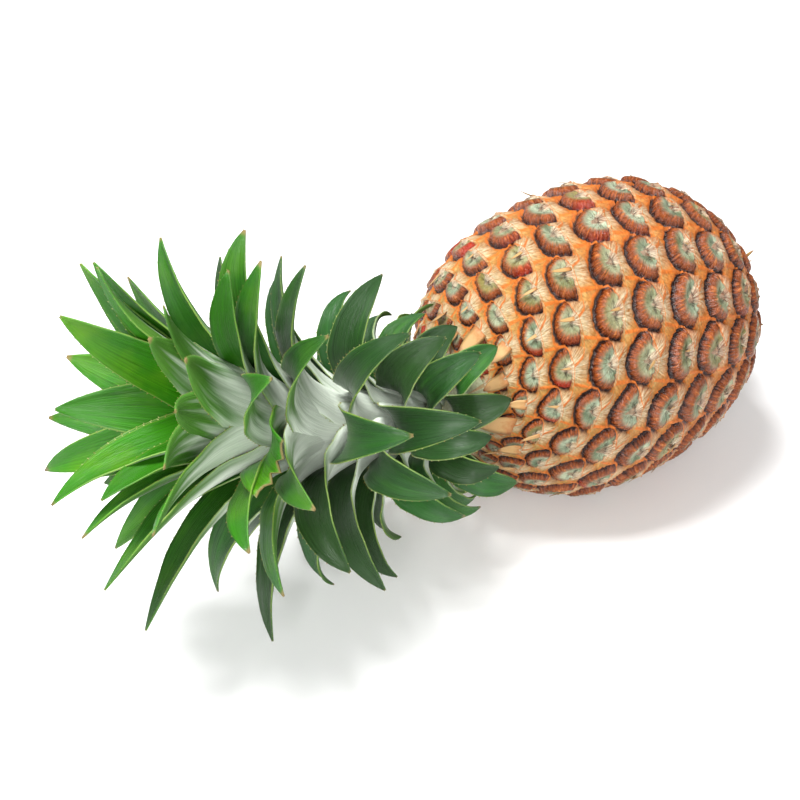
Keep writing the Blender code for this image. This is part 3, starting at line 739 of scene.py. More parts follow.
        ripe = add_node(tree, MAP_RANGE, {0: length, 1: 0.06, 2: 0.14}).outputs[0]
        ripe = add_node(tree, MATH, {0: ripe, 1: cloud}, operation="MULTIPLY").outputs[0]
        bract = add_node(tree, MIX, {0: ripe, one: bract, two: linear(self.bract_net)}, data_type=kind).outputs[out]
        near_tip = add_node(tree, MAP_RANGE, {0: far, 1: 0.20, 2: 0.03}, **smooth).outputs[0]
        white = add_node(tree, MAP_RANGE, {0: fibre, 1: 0.38, 2: 0.60}).outputs[0]
        white = add_node(tree, MATH, {0: white, 1: near_tip}, operation="MULTIPLY").outputs[0]
        bract = add_node(tree, MIX, {0: white, one: bract, two: linear(self.fibre_white)},
                         data_type=kind).outputs[out]
        star = add_node(tree, MAP_RANGE, {0: far, 1: 0.075, 2: 0.0, 4: 0.8}, **smooth).outputs[0]
        star = add_node(tree, MATH, {0: white, 1: star}, operation="MULTIPLY").outputs[0]
        eye = add_node(tree, MIX, {0: star, one: eye, two: linear(self.fibre_white)}, data_type=kind).outputs[out]

        outside = add_node(tree, MAP_RANGE, {0: edge, 1: 1.0, 2: 1.07}, **smooth).outputs[0]
        torn = add_node(tree, MATH, {0: fibre, 1: 0.6, 2: -0.3}, operation="MULTIPLY_ADD").outputs[0]
        torn = add_node(tree, MATH, {0: tongue, 1: torn}, operation="ADD").outputs[0]
        torn = add_node(tree, MAP_RANGE, {0: torn, 1: 0.10, 2: 0.28}, **smooth).outputs[0]
        over = add_node(tree, MATH, {0: outside, 1: torn}, operation="MAXIMUM").outputs[0]
        skin = add_node(tree, MIX, {0: over, one: eye, two: bract}, data_type=kind).outputs[out]

        # Painted shade: a dark ditch round the cushion, strongest on its crown side under the overhanging rim; then
        # the thin orange net that passes between the eyes
        inner = add_node(tree, MAP_RANGE, {0: edge, 1: 0.92, 2: 1.0}, **smooth).outputs[0]
        outer = add_node(tree, MAP_RANGE, {0: edge, 1: 1.13, 2: 1.04}, **smooth).outputs[0]
        groove_shade = add_node(tree, MATH, {0: inner, 1: outer}, operation="MULTIPLY").outputs[0]
        # The painted shade is strongest on the crown side, where the rim overhangs the groove
        crown_side_shade = add_node(tree, MAP_RANGE, {0: along, 1: 0.02, 2: -0.04, 3: 0.35, 4: 0.95}, **smooth).outputs[0]
        near_other = add_node(tree, MAP_RANGE, {0: along, 1: 0.04, 2: 0.09}, **smooth).outputs[0]
        shaded_side = add_node(tree, MATH, {0: crown_side_shade, 1: near_other}, operation="MAXIMUM").outputs[0]
        groove_shade = add_node(tree, MATH, {0: groove_shade, 1: shaded_side}, operation="MULTIPLY").outputs[0]
        bare = add_node(tree, MATH, {0: 1.0, 1: torn}, operation="SUBTRACT").outputs[0]
        groove_shade = add_node(tree, MATH, {0: groove_shade, 1: bare}, operation="MULTIPLY").outputs[0]
        skin = add_node(tree, MIX, {0: groove_shade, one: skin, two: linear(self.groove)}, data_type=kind).outputs[out]
        gap = add_node(tree, MATH, {0: second, 1: cushion}, operation="SUBTRACT").outputs[0]
        gap = add_node(tree, MATH, {0: cloud, 1: 0.10, 2: gap}, operation="MULTIPLY_ADD").outputs[0]
        ridge = add_node(tree, MAP_RANGE, {0: gap, 1: 0.20, 2: 0.10}, **smooth).outputs[0]
        clear = add_node(tree, MAP_RANGE, {0: edge, 1: 0.90, 2: 0.98}, **smooth).outputs[0]
        ridge = add_node(tree, MATH, {0: ridge, 1: clear}, operation="MULTIPLY").outputs[0]
        lip_edge = add_node(tree, MATH, {0: fibre, 1: 0.16, 2: edge}, operation="MULTIPLY_ADD").outputs[0]
        lip_edge = add_node(tree, MATH, {0: lip_edge, 1: eyes.lip_metric + 0.08}, operation="SUBTRACT").outputs[0]
        lip_edge = add_node(tree, MATH, {0: lip_edge}, operation="ABSOLUTE").outputs[0]
        lip = add_node(tree, MAP_RANGE, {0: lip_edge, 1: 0.09, 2: 0.03}, **smooth).outputs[0]
        lip_side = add_node(tree, MAP_RANGE, {0: along, 1: 0.04, 2: -0.02}, **smooth).outputs[0]
        lip = add_node(tree, MATH, {0: lip, 1: lip_side}, operation="MULTIPLY").outputs[0]
        ridge = add_node(tree, MATH, {0: ridge, 1: lip}, operation="MAXIMUM").outputs[0]
        ridge = add_node(tree, MATH, {0: ridge, 1: 0.9}, operation="MULTIPLY").outputs[0]
        skin = add_node(tree, MIX, {0: ridge, one: skin, two: linear(self.bract_net)}, data_type=kind).outputs[out]

        crack = add_node(tree, MATH, {0: along, 1: 0.030}, operation="ADD").outputs[0]
        crack = add_node(tree, MATH, {0: fibre, 1: 0.12, 2: crack}, operation="MULTIPLY_ADD").outputs[0]
        crack = add_node(tree, MATH, {0: crack, 1: -0.06}, operation="ADD").outputs[0]
        crack = add_node(tree, MATH, {0: crack}, operation="ABSOLUTE").outputs[0]
        crack = add_node(tree, MAP_RANGE, {0: crack, 1: 0.010, 2: 0.002}, **smooth).outputs[0]
        wide = add_node(tree, MATH, {0: across}, operation="ABSOLUTE").outputs[0]
        wide = add_node(tree, MAP_RANGE, {0: wide, 1: 0.10, 2: 0.04, 4: 0.9}, **smooth).outputs[0]
        crack = add_node(tree, MATH, {0: crack, 1: wide}, operation="MULTIPLY").outputs[0]
        skin = add_node(tree, MIX, {0: crack, one: skin, two: linear(self.groove)}, data_type=kind).outputs[out]
        speck = add_node(tree, MATH, {0: grain, 1: fibre}, operation="ADD").outputs[0]
        speck = add_node(tree, MAP_RANGE, {0: speck, 1: 0.75, 2: 1.25, 3: 0.62, 4: 1.10}).outputs[0]
        skin = add_node(tree, VECTOR_MATH, {0: skin, "Scale": speck}, operation="SCALE").outputs[0]
        tree.links.new(skin, shader.inputs["Base Color"])

        gloss = add_node(tree, MAP_RANGE, {0: grain, 1: 0.3, 2: 0.7, 3: 0.16, 4: 0.34}).outputs[0]
        matt = add_node(tree, MAP_RANGE, {0: fibre, 3: 0.40, 4: 0.66}).outputs[0]
        dull = add_node(tree, MATH, {0: 1.0, 1: to_rim}, operation="SUBTRACT").outputs[0]
        dull = add_node(tree, MATH, {0: dull, 1: over}, operation="MAXIMUM").outputs[0]
        rough = add_node(tree, MIX, {0: dull, 2: gloss, 3: matt}, data_type="FLOAT").outputs[0]
        tree.links.new(rough, shader.inputs["Roughness"])
        shader.inputs["Specular IOR Level"].default_value = 0.4
        lift = add_node(tree, MIX, {0: over, 2: streak, 3: fibre}, data_type="FLOAT").outputs[0]
        coarse = add_node(tree, "ShaderNodeBump", {"Strength": 0.9, "Distance": 0.0014, "Height": lift}).outputs[0]
        fine = add_node(tree, "ShaderNodeBump", {"Strength": 0.3, "Distance": 0.0003, "Height": grain,
                                                 "Normal": coarse}).outputs[0]
        tree.links.new(fine, shader.inputs["Normal"])
        return material


# Small repeats, set by Geometry Nodes

@dataclass(frozen=True)
class Growth:
    """Geometry Nodes tree that sets copies of a small closed shape on points or along lines.

    Each place has the attributes facing (up of the copy), heading (its long way) and size.
    """

    name: str
    along_lines: bool
    size_spread: tuple[float, float] = (0.75, 1.2)

    def tree(self) -> bpy.types.NodeTree:
        """Builds the tree.

        Returns:
            A tree with the inputs places, shape, finish, spacing and seed.
        """
        tree = bpy.data.node_groups.new(self.name, "GeometryNodeTree")
        tree.is_modifier = True
        sockets = {"Places": "Geometry", "Shape": "Object", "Finish": "Material", "Spacing": "Float",
                   "Seed": "Int"}
        for name, kind in sockets.items():
            tree.interface.new_socket(name, in_out="INPUT", socket_type=f"NodeSocket{kind}")
        tree.interface.new_socket("Grown", in_out="OUTPUT", socket_type="NodeSocketGeometry")
        given = add_node(tree, "NodeGroupInput").outputs
        places = given["Places"]
        if self.along_lines:
            line = add_node(tree, "GeometryNodeMeshToCurve", {0: places}).outputs[0]
            places = add_node(tree, "GeometryNodeResampleCurve", {"Curve": line, "Length": given["Spacing"]},
                              mode="LENGTH").outputs[0]
        traits = {}
        for name, kind in (("facing", "FLOAT_VECTOR"), ("heading", "FLOAT_VECTOR"), ("size", "FLOAT")):
            traits[name] = add_node(tree, "GeometryNodeInputNamedAttribute", {"Name": name},
                                    data_type=kind).outputs[0]
        turn = add_node(tree, "FunctionNodeAxesToRotation", {0: traits["facing"], 1: traits["heading"]},
                        primary_axis="Z", secondary_axis="X").outputs[0]
        least, most = self.size_spread
        varied = add_node(tree, "FunctionNodeRandomValue", {2: least, 3: most, 8: given["Seed"]},
                          data_type="FLOAT").outputs[1]
        scale = add_node(tree, MATH, {0: traits["size"], 1: varied}, operation="MULTIPLY").outputs[0]
        shape = add_node(tree, "GeometryNodeObjectInfo", {0: given["Shape"]}).outputs["Geometry"]
        copies = add_node(tree, "GeometryNodeInstanceOnPoints",
                          {"Points": places, "Instance": shape, "Rotation": turn, "Scale": scale}).outputs[0]
        whole = add_node(tree, "GeometryNodeRealizeInstances", {0: copies}).outputs[0]
        dressed = add_node(tree, "GeometryNodeSetMaterial", {0: whole, "Material": given["Finish"]}).outputs[0]
        add_node(tree, "NodeGroupOutput", {0: dressed})
        return tree

    def grow(self, places: bpy.types.Object, shape: bpy.types.Object, finish: bpy.types.Material,
             spacing: float = 0.0, seed: int = 7) -> None:
        """Turns a mesh of places into its grown copies, as a plain mesh.

        Args:
            places: Object whose points or lines carry the attributes.
            shape: Closed shape one unit long along +X. It is removed afterwards.
            finish: Material of the copies.
            spacing: Distance between copies along a line.
            seed: Seed of their sizes.
        """
        tree = self.tree()
        modifier = places.modifiers.new(self.name, "NODES")
        modifier.node_group = tree
        values = {"Shape": shape, "Finish": finish, "Spacing": spacing, "Seed": seed}
        for item in tree.interface.items_tree:
            if item.in_out == "INPUT" and item.name in values:
                modifier[item.identifier] = values[item.name]
        graph = bpy.context.evaluated_depsgraph_get()
        grown = bpy.data.meshes.new_from_object(places.evaluated_get(graph))
        plain = places.data
        places.modifiers.clear()
        places.data = grown
        grown.name = places.name
        grown.shade_smooth()
        bpy.data.meshes.remove(plain)
        bpy.data.objects.remove(shape)


def place_object(name: str, points: Array, lines: list[tuple[int, int]], facing: Array, heading: Array,
                 size: Array) -> bpy.types.Object:
    """Makes the mesh of points or lines that copies are set on.

    Args:
        name: Name of the piece.
        points: One row of x, y and z for each place.
        lines: Pairs of points that are joined.
        facing: Up of each copy.
        heading: Long way of each copy.
        size: Length of each copy.

    Returns:
        The object, linked to the scene.
    """
    mesh = bpy.data.meshes.new(name)
    mesh.from_pydata(points.tolist(), lines, [])
    for trait, values in (("facing", facing), ("heading", heading)):
        mesh.attributes.new(trait, "FLOAT_VECTOR", "POINT").data.foreach_set("vector", values.reshape(-1))
    set_trait(mesh, "size", size)
    return link_object(name, mesh)


def scale_shape(
    name: str,
    half_width: float,
    thickness: float,
    bend: float,
    stations: int = 8,
) -> bpy.types.Object:
    """Makes a closed dry scale one unit long along +X, which narrows to its tip and bends up.

    Args:
        name: Name of the shape.
        half_width: Half its width at its broadest.
        thickness: Its thickness at the root.
        bend: How far its tip rises.
        stations: Rings of points along it.

    Returns:
        The shape, with the attribute share: 0 at its root, 1 at its tip.
    """
    ring = ((-1.0, 0.25), (-0.5, 0.9), (0.0, 1.0), (0.5, 0.9), (1.0, 0.25), (0.5, -0.2), (-0.5, -0.2))
    points = []
    shares = []
    for share in np.linspace(0.0, 0.97, stations):
        width = half_width * (1.0 - share) ** 0.85 * (0.75 + 0.9 * share)
        depth = thickness * (1.0 - 0.75 * share)
        for y, z in ring:
            points.append((share, y * width, z * depth + bend * share ** 2 + 0.25 * width * abs(y)))
            shares.append(share)
    count = len(ring)
    faces: list[tuple[int, ...]] = [tuple(range(count))]
    for station in range(stations - 1):
        for index in range(count):
            other = (index + 1) % count
            low = station * count
            faces.append((low + index, low + count + index, low + count + other, low + other))
    faces.append(tuple(range(stations * count - 1, (stations - 1) * count - 1, -1)))
    shape = mesh_object(name, np.array(points), faces)
    set_trait(shape.data, "share", shares)
    return shape


@dataclass
class BractTips:
    """Dry tips of the bracts: small ones lie or stand over the eyes, broad ones ring the crown's foot."""

    body: Body
    eyes: EyePattern
    root_place: float = 0.022
    small_size: float = 0.0072
    broad_size: float = 0.0105
    neck_depth: float = 0.50
    clear_height: float = 0.016
    sink: float = 0.0006
    crown_margin: float = 0.04
    stalk_margin: float = 0.16
    small_share: float = 0.42
    broad_share: float = 0.8
    small_lying: float = 0.90
    broad_lying: float = 0.7
    stand_lift: tuple[float, float] = (24.0, 20.0)
    lie_lift: tuple[float, float] = (3.0, 9.0)
    swing: float = 40.0
    nudge: float = 0.002

    def numbers(self, neck: bool) -> Array:
        """Numbers of the eyes that bear a tip.

        Args:
            neck: Whether the eyes near the crown are meant, or all others.

        Returns:
            The eyes' numbers along the spiral.
        """
        low = self.body.reach[0] + self.crown_margin
        edge = self.body.reach[0] + self.neck_depth
        high = self.body.reach[-1] - self.stalk_margin
        start, end = (low, edge) if neck else (edge, high)
        first = math.ceil((start - self.eyes.first_reach) / self.eyes.rise)
        last = math.floor((end - self.eyes.first_reach) / self.eyes.rise)
        return np.arange(first, last + 1)

    def places(self, name: str, neck: bool) -> bpy.types.Object:
        """Finds where the tips sit and how they lie.

        Args:
            name: Name of the piece.
            neck: Whether the broad tips near the crown are meant.

        Returns:
            The mesh of their places.
        """
        eyes = self.eyes
        number = self.numbers(neck)
        reach = eyes.first_reach + number * eyes.rise
        angle = eyes.first_angle + number * eyes.turn
        moved_reach, moved_angle = eyes.stray(reach, angle)
        reach = 2.0 * reach - moved_reach + self.root_place
        angle = 2.0 * angle - moved_angle
        height, _ = eyes.relief(self.body, reach, angle)
        smooth = self.body.points(reach, angle, 0.0)
        ahead = smooth - self.body.points(reach + self.nudge, angle, 0.0)
        aside = self.body.points(reach, angle + self.nudge, 0.0) - smooth
        ahead = unit(ahead)
        normal = unit(np.cross(ahead, aside))
        outward = np.sign(np.sum(normal * (smooth - np.array(self.body.centre)), axis=1, keepdims=True))
        normal *= outward
        points = self.body.points(reach, angle, height) - normal * self.sink
        stands = chance(number, 11) > (self.broad_lying if neck else self.small_lying)
        lean = chance(number, 12)
        stand, lie = (least + spread * lean for least, spread in (self.stand_lift, self.lie_lift))
        lift = np.radians(np.where(stands, stand, lie))[:, None]
        swing = np.radians(self.swing * (chance(number, 13) - 0.5))[:, None]
        level = ahead * np.cos(swing) + np.cross(normal, ahead) * np.sin(swing)
        heading = level * np.cos(lift) + normal * np.sin(lift)
        facing = normal * np.cos(lift) - level * np.sin(lift)
        size = (self.broad_size if neck else self.small_size) * (0.6 + 0.7 * chance(number, 14))
        kept = (points[:, 2] > self.clear_height) & (
            chance(number, 15) < (self.broad_share if neck else self.small_share))
        return place_object(name, points[kept], [], facing[kept], heading[kept], size[kept])

    def build(self, finish: bpy.types.Material) -> list[bpy.types.Object]:
        """Makes the small and the broad tips.

        Args:
            finish: Their material.

        Returns:
            The two pieces.
        """
        growth = Growth("dry_tips_on_eyes", along_lines=False)
        small = self.places("dry_bract_tips", neck=False)
        growth.grow(small, scale_shape("small_tip", 0.13, 0.045, 0.12), finish)
        broad = self.places("dry_neck_bracts", neck=True)
        growth.grow(broad, scale_shape("broad_tip", 0.36, 0.04, 0.22), finish)
        return [small, broad]


@dataclass(frozen=True)
class DryBract:
    """Dry bract tip: papery and matt, brown at its root, lighter along its fibres, dark at its point."""

    root: str = "#9A5C26"
    fibre: str = "#AE8854"
    point: str = "#7C4A28"

    def make(self) -> bpy.types.Material:
        """Builds the material.

        Returns:
            The material.
        """
        material, tree, shader = new_material("papery_dry_bract")
        kind, one, two, out = MixSide.COLOUR.value
        share = add_node(tree, "ShaderNodeAttribute", attribute_name="share").outputs["Fac"]
        place = add_node(tree, "ShaderNodeTexCoord").outputs["Object"]
        grain = add_node(tree, NOISE, {"Vector": place, "Scale": 700.0, "Detail": 3.0}).outputs[0]
        shifted = add_node(tree, MATH, {0: grain, 1: 0.6, 2: share}, operation="MULTIPLY_ADD").outputs[0]
        pale = add_node(tree, MAP_RANGE, {0: shifted, 1: 0.25, 2: 0.65}).outputs[0]
        colour = add_node(tree, MIX, {0: pale, one: linear(self.root), two: linear(self.fibre)},
                          data_type=kind).outputs[out]
        brown = add_node(tree, MAP_RANGE, {0: shifted, 1: 1.0, 2: 1.30}).outputs[0]
        colour = add_node(tree, MIX, {0: brown, one: colour, two: linear(self.point)}, data_type=kind).outputs[out]
        tree.links.new(colour, shader.inputs["Base Color"])
        shader.inputs["Roughness"].default_value = 0.62
        return material


# Crown

@dataclass(frozen=True)
class Leaf:
    """Sizes and leans of one leaf. Age 0 is the lowest and shortest, 1 the innermost."""

    index: int
    age: float
    distance: float
    angle: float
    length: float
    width: float
    lean: float
    end_lean: float
    sway: float
    twist: float
    hollow: float
    curl: float
    torn: float


@dataclass
class Crown:
    """Leaves set by the golden angle round a short stem that bends up a little."""

    body: Body
    count: int = 84
    golden_angle: float = math.radians(137.508)
    first_angle: float = math.radians(33.2)
    stem_length: float = 0.0743
    stem_bend: float = math.radians(33.0)
    stem_bend_side: float = math.radians(10.0)
    stem_root_radius: float = 0.0185
    stem_top_radius: float = 0.0085
    seed: int = 40
    low_leaf: float = 0.0400
    tall_leaf: float = 0.1020
    inner_leaf: float = 0.0960
    low_width: float = 0.0180
    tall_width: float = 0.0268
    torn_leaf: int = 67
    torn_share: float = 0.66
    thickness: float = 0.0015
    margin_thickness: float = 0.00045
    steps: int = 26
    across: int = 11
    root_sink: float = 0.35
    ripple: float = 0.0009
    clear_of_fruit: float = 0.0052
    clear_of_floor: float = 0.0006
    spine_size: float = 0.0009
    spine_spacing: float = 0.0027
    grown_ramp: tuple[float, float] = (0.08, 0.73)
    inner_ramp: tuple[float, float] = (0.80, 1.0)
    turn_spread: float = 0.12
    length_spread: tuple[float, float] = (0.90, 1.10)
    width_spread: tuple[float, float] = (0.92, 1.08)
    hollow_spread: tuple[float, float] = (0.9, 1.15)
    curl_spread: tuple[float, float] = (-0.1, 1.0)
    stem_span: tuple[float, float] = (0.05, 0.92)
    stem_crowding: float = 0.94
    root_lean: float = 6.0
    root_lean_low: float = 44.0
    root_lean_power: float = 2.2
    mean_lean: float = 17.0
    mean_lean_low: float = 42.0
    mean_lean_low_power: float = 1.2
    mean_lean_lowest: float = 55.0
    mean_lean_lowest_power: float = 1.5
    end_lean_spread: float = 12.0
    lean_ramp: tuple[float, float] = (0.05, 1.0)
    mean_ramp: float = 0.475
    curl_ramp: tuple[float, float] = (0.72, 1.05)
    sway_spread: float = 0.16
    twist_spread: float = 0.45
    rag_size: float = 0.0022
    margins: list[tuple[Array, Array]] = field(default_factory=list)

    def stem_frame(self, distance: float) -> tuple[Array, Array, Array]:
        """Place on the stem's middle line.

        Args:
            distance: Distance along the stem.

        Returns:
            The centre, the axis and the level side there.
        """
        bend = self.stem_bend * distance / self.stem_length
        radius = self.stem_length / self.stem_bend
        ahead = np.array([-1.0, 0.0, 0.0])
        aside = np.array([0.0, math.sin(self.stem_bend_side), math.cos(self.stem_bend_side)])
        start = (np.array([-self.body.end_reach(self.body.crown_end_radius), 0.0, 0.0])
                 + np.array(self.body.centre))
        centre = start + radius * (ahead * math.sin(bend) + aside * (1.0 - math.cos(bend)))
        axis = ahead * math.cos(bend) + aside * math.sin(bend)
        level = np.array([0.0, 1.0, 0.0])
        level = level - axis * level.dot(axis)
        return centre, axis, level / np.linalg.norm(level)

    def leaf(self, index: int) -> Leaf:
        """Draws the sizes and leans of one leaf.

        Args:
            index: The leaf's number, counted from the fruit.

        Returns:
            The leaf.
        """
        draw = random.Random(self.seed + index)
        age = index / (self.count - 1)
        grown = float(soft_step(*self.grown_ramp, age))
        inner = float(soft_step(*self.inner_ramp, age))
        angle = self.first_angle - self.golden_angle * index
        angle = angle + draw.uniform(-self.turn_spread, self.turn_spread)
        length = self.low_leaf + (self.tall_leaf - self.low_leaf) * grown
        length = (length - (self.tall_leaf - self.inner_leaf) * inner) * draw.uniform(*self.length_spread)
        width = self.low_width + (self.tall_width - self.low_width) * grown
        width = width * draw.uniform(*self.width_spread)
        lean = math.radians(self.root_lean + self.root_lean_low * (1.0 - age) ** self.root_lean_power)
        lowest = self.mean_lean_lowest * (1.0 - age) ** self.mean_lean_lowest_power
        mean = math.radians(self.mean_lean + self.mean_lean_low * (1.0 - age) ** self.mean_lean_low_power
                            + lowest)
        end_lean = lean + (mean - lean) / self.mean_ramp
        end_lean += math.radians(draw.uniform(-self.end_lean_spread, self.end_lean_spread))
        sway = draw.uniform(-self.sway_spread, self.sway_spread)
        twist = draw.uniform(-self.twist_spread, self.twist_spread)
        hollow = draw.uniform(*self.hollow_spread)
        curl = draw.uniform(*self.curl_spread) * (1.0 - 0.5 * age)
        torn = self.torn_share if index == self.torn_leaf else 1.0
        low, span = self.stem_span
        distance = self.stem_length * (low + span * age ** self.stem_crowding)
        return Leaf(index, age, distance, angle, length, width, lean, end_lean, sway, twist, hollow,
                    curl, torn)

    def push_clear(self, point: Array, share: float) -> Array:
        """Moves a point of a leaf off the floor and out of the fruit.

        Args:
            point: The point.
            share: How far along the leaf it is, 0 at the root.

        Returns:
            The point with its room kept.
        """
        middle = np.array(self.body.centre)
        place = point - middle
        place[2] = max(place[2], self.clear_of_floor - middle[2])
        room = self.clear_of_fruit * float(soft_step(0.0, 0.30, share))
        out = math.hypot(place[1], place[2])
        near = abs(place[0]) / (self.body.half_length + room)
        if place[0] > -self.body.end_reach(self.body.crown_end_radius) - room and near < 1.0:
            needed = (self.body.radius + room) * math.sqrt(1.0 - near ** self.body.profile_power)
            if out < needed:
                place[1:] *= needed / max(out, 1e-6)
        return place + middle

    def blade(self, leaf: Leaf) -> Array:
        """Middle surface of one leaf.

        Args:
            leaf: The leaf.

        Returns:
            Rows of points from root to tip, each running across the leaf.
        """
        centre, axis, level = self.stem_frame(leaf.distance)
        up = np.cross(level, axis)
        out = level * math.cos(leaf.angle) + up * math.sin(leaf.angle)
        side = np.cross(axis, out)
        share = leaf.distance / self.stem_length
        stem_radius = self.stem_root_radius + (self.stem_top_radius - self.stem_root_radius) * share
        place = centre + out * stem_radius * (1.0 - self.root_sink)
        rows = []
        for step in range(self.steps + 1):
            t = step / self.steps
            lean = leaf.lean + (leaf.end_lean - leaf.lean) * float(soft_step(*self.lean_ramp, t))
            lean += leaf.curl * float(soft_step(*self.curl_ramp, t))
            along = axis * math.cos(lean) + out * math.sin(lean) + side * leaf.sway * t
            along = along / np.linalg.norm(along)
            face = np.cross(along, side)
            face = face / np.linalg.norm(face)
            edge = np.cross(face, along)
            turn = leaf.twist * t
            edge, face = (edge * math.cos(turn) + face * math.sin(turn),
                          face * math.cos(turn) - edge * math.sin(turn))
            rows.append(self.row(place, edge, face, leaf, t))
            place = self.push_clear(place + along * leaf.length * leaf.torn / self.steps, t)
        if leaf.torn < 1.0:
            rags = np.sin(np.arange(self.across) * 2.7 + 0.6) * self.rag_size
            rows[-1] = [point + along * rag for point, rag in zip(rows[-1], rags)]
        return np.array(rows)

    def row(self, place: Array, edge: Array, face: Array, leaf: Leaf, t: float) -> list[Array]:
        """One row across a leaf: an arc, hollow toward the crown's axis.

        Args:
            place: Middle of the row.
            edge: Direction across the leaf.
            face: Direction toward the crown's axis.
            leaf: The leaf.
            t: How far along the leaf the row is.

        Returns:
            The row's points.
        """
        t = min(t * leaf.torn, 0.995)
        width = (1.0 - t) ** 0.8 * (1.0 + 1.1 * t) * (1.0 - 0.18 * (1.0 - t) ** 4) * 1.04
        half = 0.5 * leaf.width * width
        arc = leaf.hollow * (1.25 - 0.70 * t)
        points = []
        for y in np.linspace(-1.0, 1.0, self.across):
            waves = (math.sin(19.0 * t + 1.7 * leaf.index + 1.3 * y) + 0.6
                     * math.sin(41.0 * t + leaf.index - 2.0 * y))
            ripple = self.ripple * y * y * waves * float(soft_step(0.0, 0.3, t))
            sideways = half * math.sin(y * arc) / arc
            depth = half * (1.0 - math.cos(y * arc)) / arc + ripple * (1.0 - t)
            points.append(self.push_clear(place + edge * sideways + face * depth, t))
        return points

    def build(self) -> bpy.types.Object:
        """Makes every leaf as a closed blade, all in one piece.

        Returns:
            The leaves, with a UV map along and across each blade and what their colour needs.
        """
        points: list[Array] = []
        faces: list[tuple[int, ...]] = []
        uvs: list[tuple[float, float]] = []
        traits: dict[str, list[float]] = {"age": [], "draw": [], "back": []}
        for index in range(self.count):
            leaf = self.leaf(index)
            self.add_leaf(leaf, points, faces, uvs, traits)
        piece = mesh_object("crown_leaves", np.concatenate(points), faces)
        layer = piece.data.uv_layers.new(name="blade")
        layer.data.foreach_set("uv", np.array(uvs, dtype=np.float32).reshape(-1))
        for name, values in traits.items():
            set_trait(piece.data, name, np.array(values, dtype=np.float32), "CORNER")
        return piece

    def add_leaf(
        self,
        leaf: Leaf,
        points: list[Array],
        faces: list[tuple[int, ...]],
        uvs: list[tuple[float, float]],
        traits: dict[str, list[float]],
    ) -> None:
        """Adds one closed blade to the lists of the crown's mesh.

        Args:
            leaf: The leaf.
            points: Arrays of points so far.
            faces: Faces so far.
            uvs: Place across and along the blade for each corner.
            traits: Named values for each corner.
        """
        rows = self.blade(leaf)
        free = self.steps // 4
        self.margins.extend([(rows[free:, 0], rows[free:, 1]), (rows[free:, -1], rows[free:, -2])])
        normal = np.cross(np.gradient(rows, axis=0), np.gradient(rows, axis=1))
        normal /= np.maximum(np.linalg.norm(normal, axis=2, keepdims=True), 1e-12)
        t = np.linspace(0.0, 1.0, self.steps + 1)[:, None, None]
        y = np.linspace(-1.0, 1.0, self.across)[None, :, None]
        full = (self.margin_thickness + (self.thickness * (1.0 - 0.55 * t) - self.margin_thickness)
                * (1.0 - y ** 4))
        first = sum(len(group) for group in points)
        layer_size = (self.steps + 1) * self.across
        points.append((rows + normal * 0.5 * full).reshape(-1, 3))
        points.append((rows - normal * 0.5 * full).reshape(-1, 3))
        last = self.across - 1
        border = [(0, c) for c in range(last)] + [(r, last) for r in range(self.steps)]
        border += [(self.steps, c) for c in range(last, 0, -1)] + [(r, 0) for r in range(self.steps, 0, -1)]

        def corner(layer: int, r: int, c: int) -> int:
            """Number of a vertex on one face of the blade."""
            return first + layer * layer_size + r * self.across + c

        def add_face(corners: list[tuple[int, int, int]], back: float) -> None:
            """Adds one face with its place on the blade."""
            faces.append(tuple(corner(*each) for each in corners))
            for _, r, c in corners:
                uvs.append((c / last, r / self.steps))
                traits["age"].append(leaf.age)
                traits["draw"].append(float(chance(leaf.index, 7)))
                traits["back"].append(back)

        for r in range(self.steps):
            for c in range(last):
                add_face([(0, r, c), (0, r + 1, c), (0, r + 1, c + 1), (0, r, c + 1)], 0.0)
                add_face([(1, r, c), (1, r, c + 1), (1, r + 1, c + 1), (1, r + 1, c)], 1.0)
        for (r, c), (other_r, other_c) in zip(border, border[1:] + border[:1]):
            add_face([(0, r, c), (0, other_r, other_c), (1, other_r, other_c), (1, r, c)], 0.5)

    def spine_places(self) -> bpy.types.Object:
        """Lines along the leaves' margins, with the way each spine points.

        Returns:
            The mesh of lines.
        """
        points = []
        heading = []
        facing = []
        size = []
        lines: list[tuple[int, int]] = []
        for margin, inner in self.margins:
            first = len(points)
            outward = margin - inner
            tipward = np.gradient(margin, axis=0)
            outward /= np.maximum(np.linalg.norm(outward, axis=1, keepdims=True), 1e-9)
            tipward /= np.maximum(np.linalg.norm(tipward, axis=1, keepdims=True), 1e-9)
            points.extend(margin)
            heading.extend(outward + 0.8 * tipward)
            facing.extend(np.cross(outward, tipward))
            size.extend(np.linspace(self.spine_size, 0.4 * self.spine_size, len(margin)))
            lines.extend((first + step, first + step + 1) for step in range(len(margin) - 1))
        return place_object("leaf_margin_spines", np.array(points), lines, np.array(facing),
                            np.array(heading),
                            np.array(size))

    def spines(self, finish: bpy.types.Material) -> bpy.types.Object:
        """Makes the small spines along the leaves' margins.

        Args:
            finish: Their material.

        Returns:
            The spines.
        """
        corners = np.array([(0.0, -0.4, 0.0), (0.0, 0.4, 0.0), (0.0, 0.0, 0.35), (1.0, 0.0, 0.05)])
        shape = mesh_object("spine", corners, [(0, 1, 2), (0, 3, 1), (1, 3, 2), (2, 3, 0)])
        piece = self.spine_places()
        Growth("spines_on_margins", along_lines=True).grow(piece, shape, finish, spacing=self.spine_spacing)
        return piece


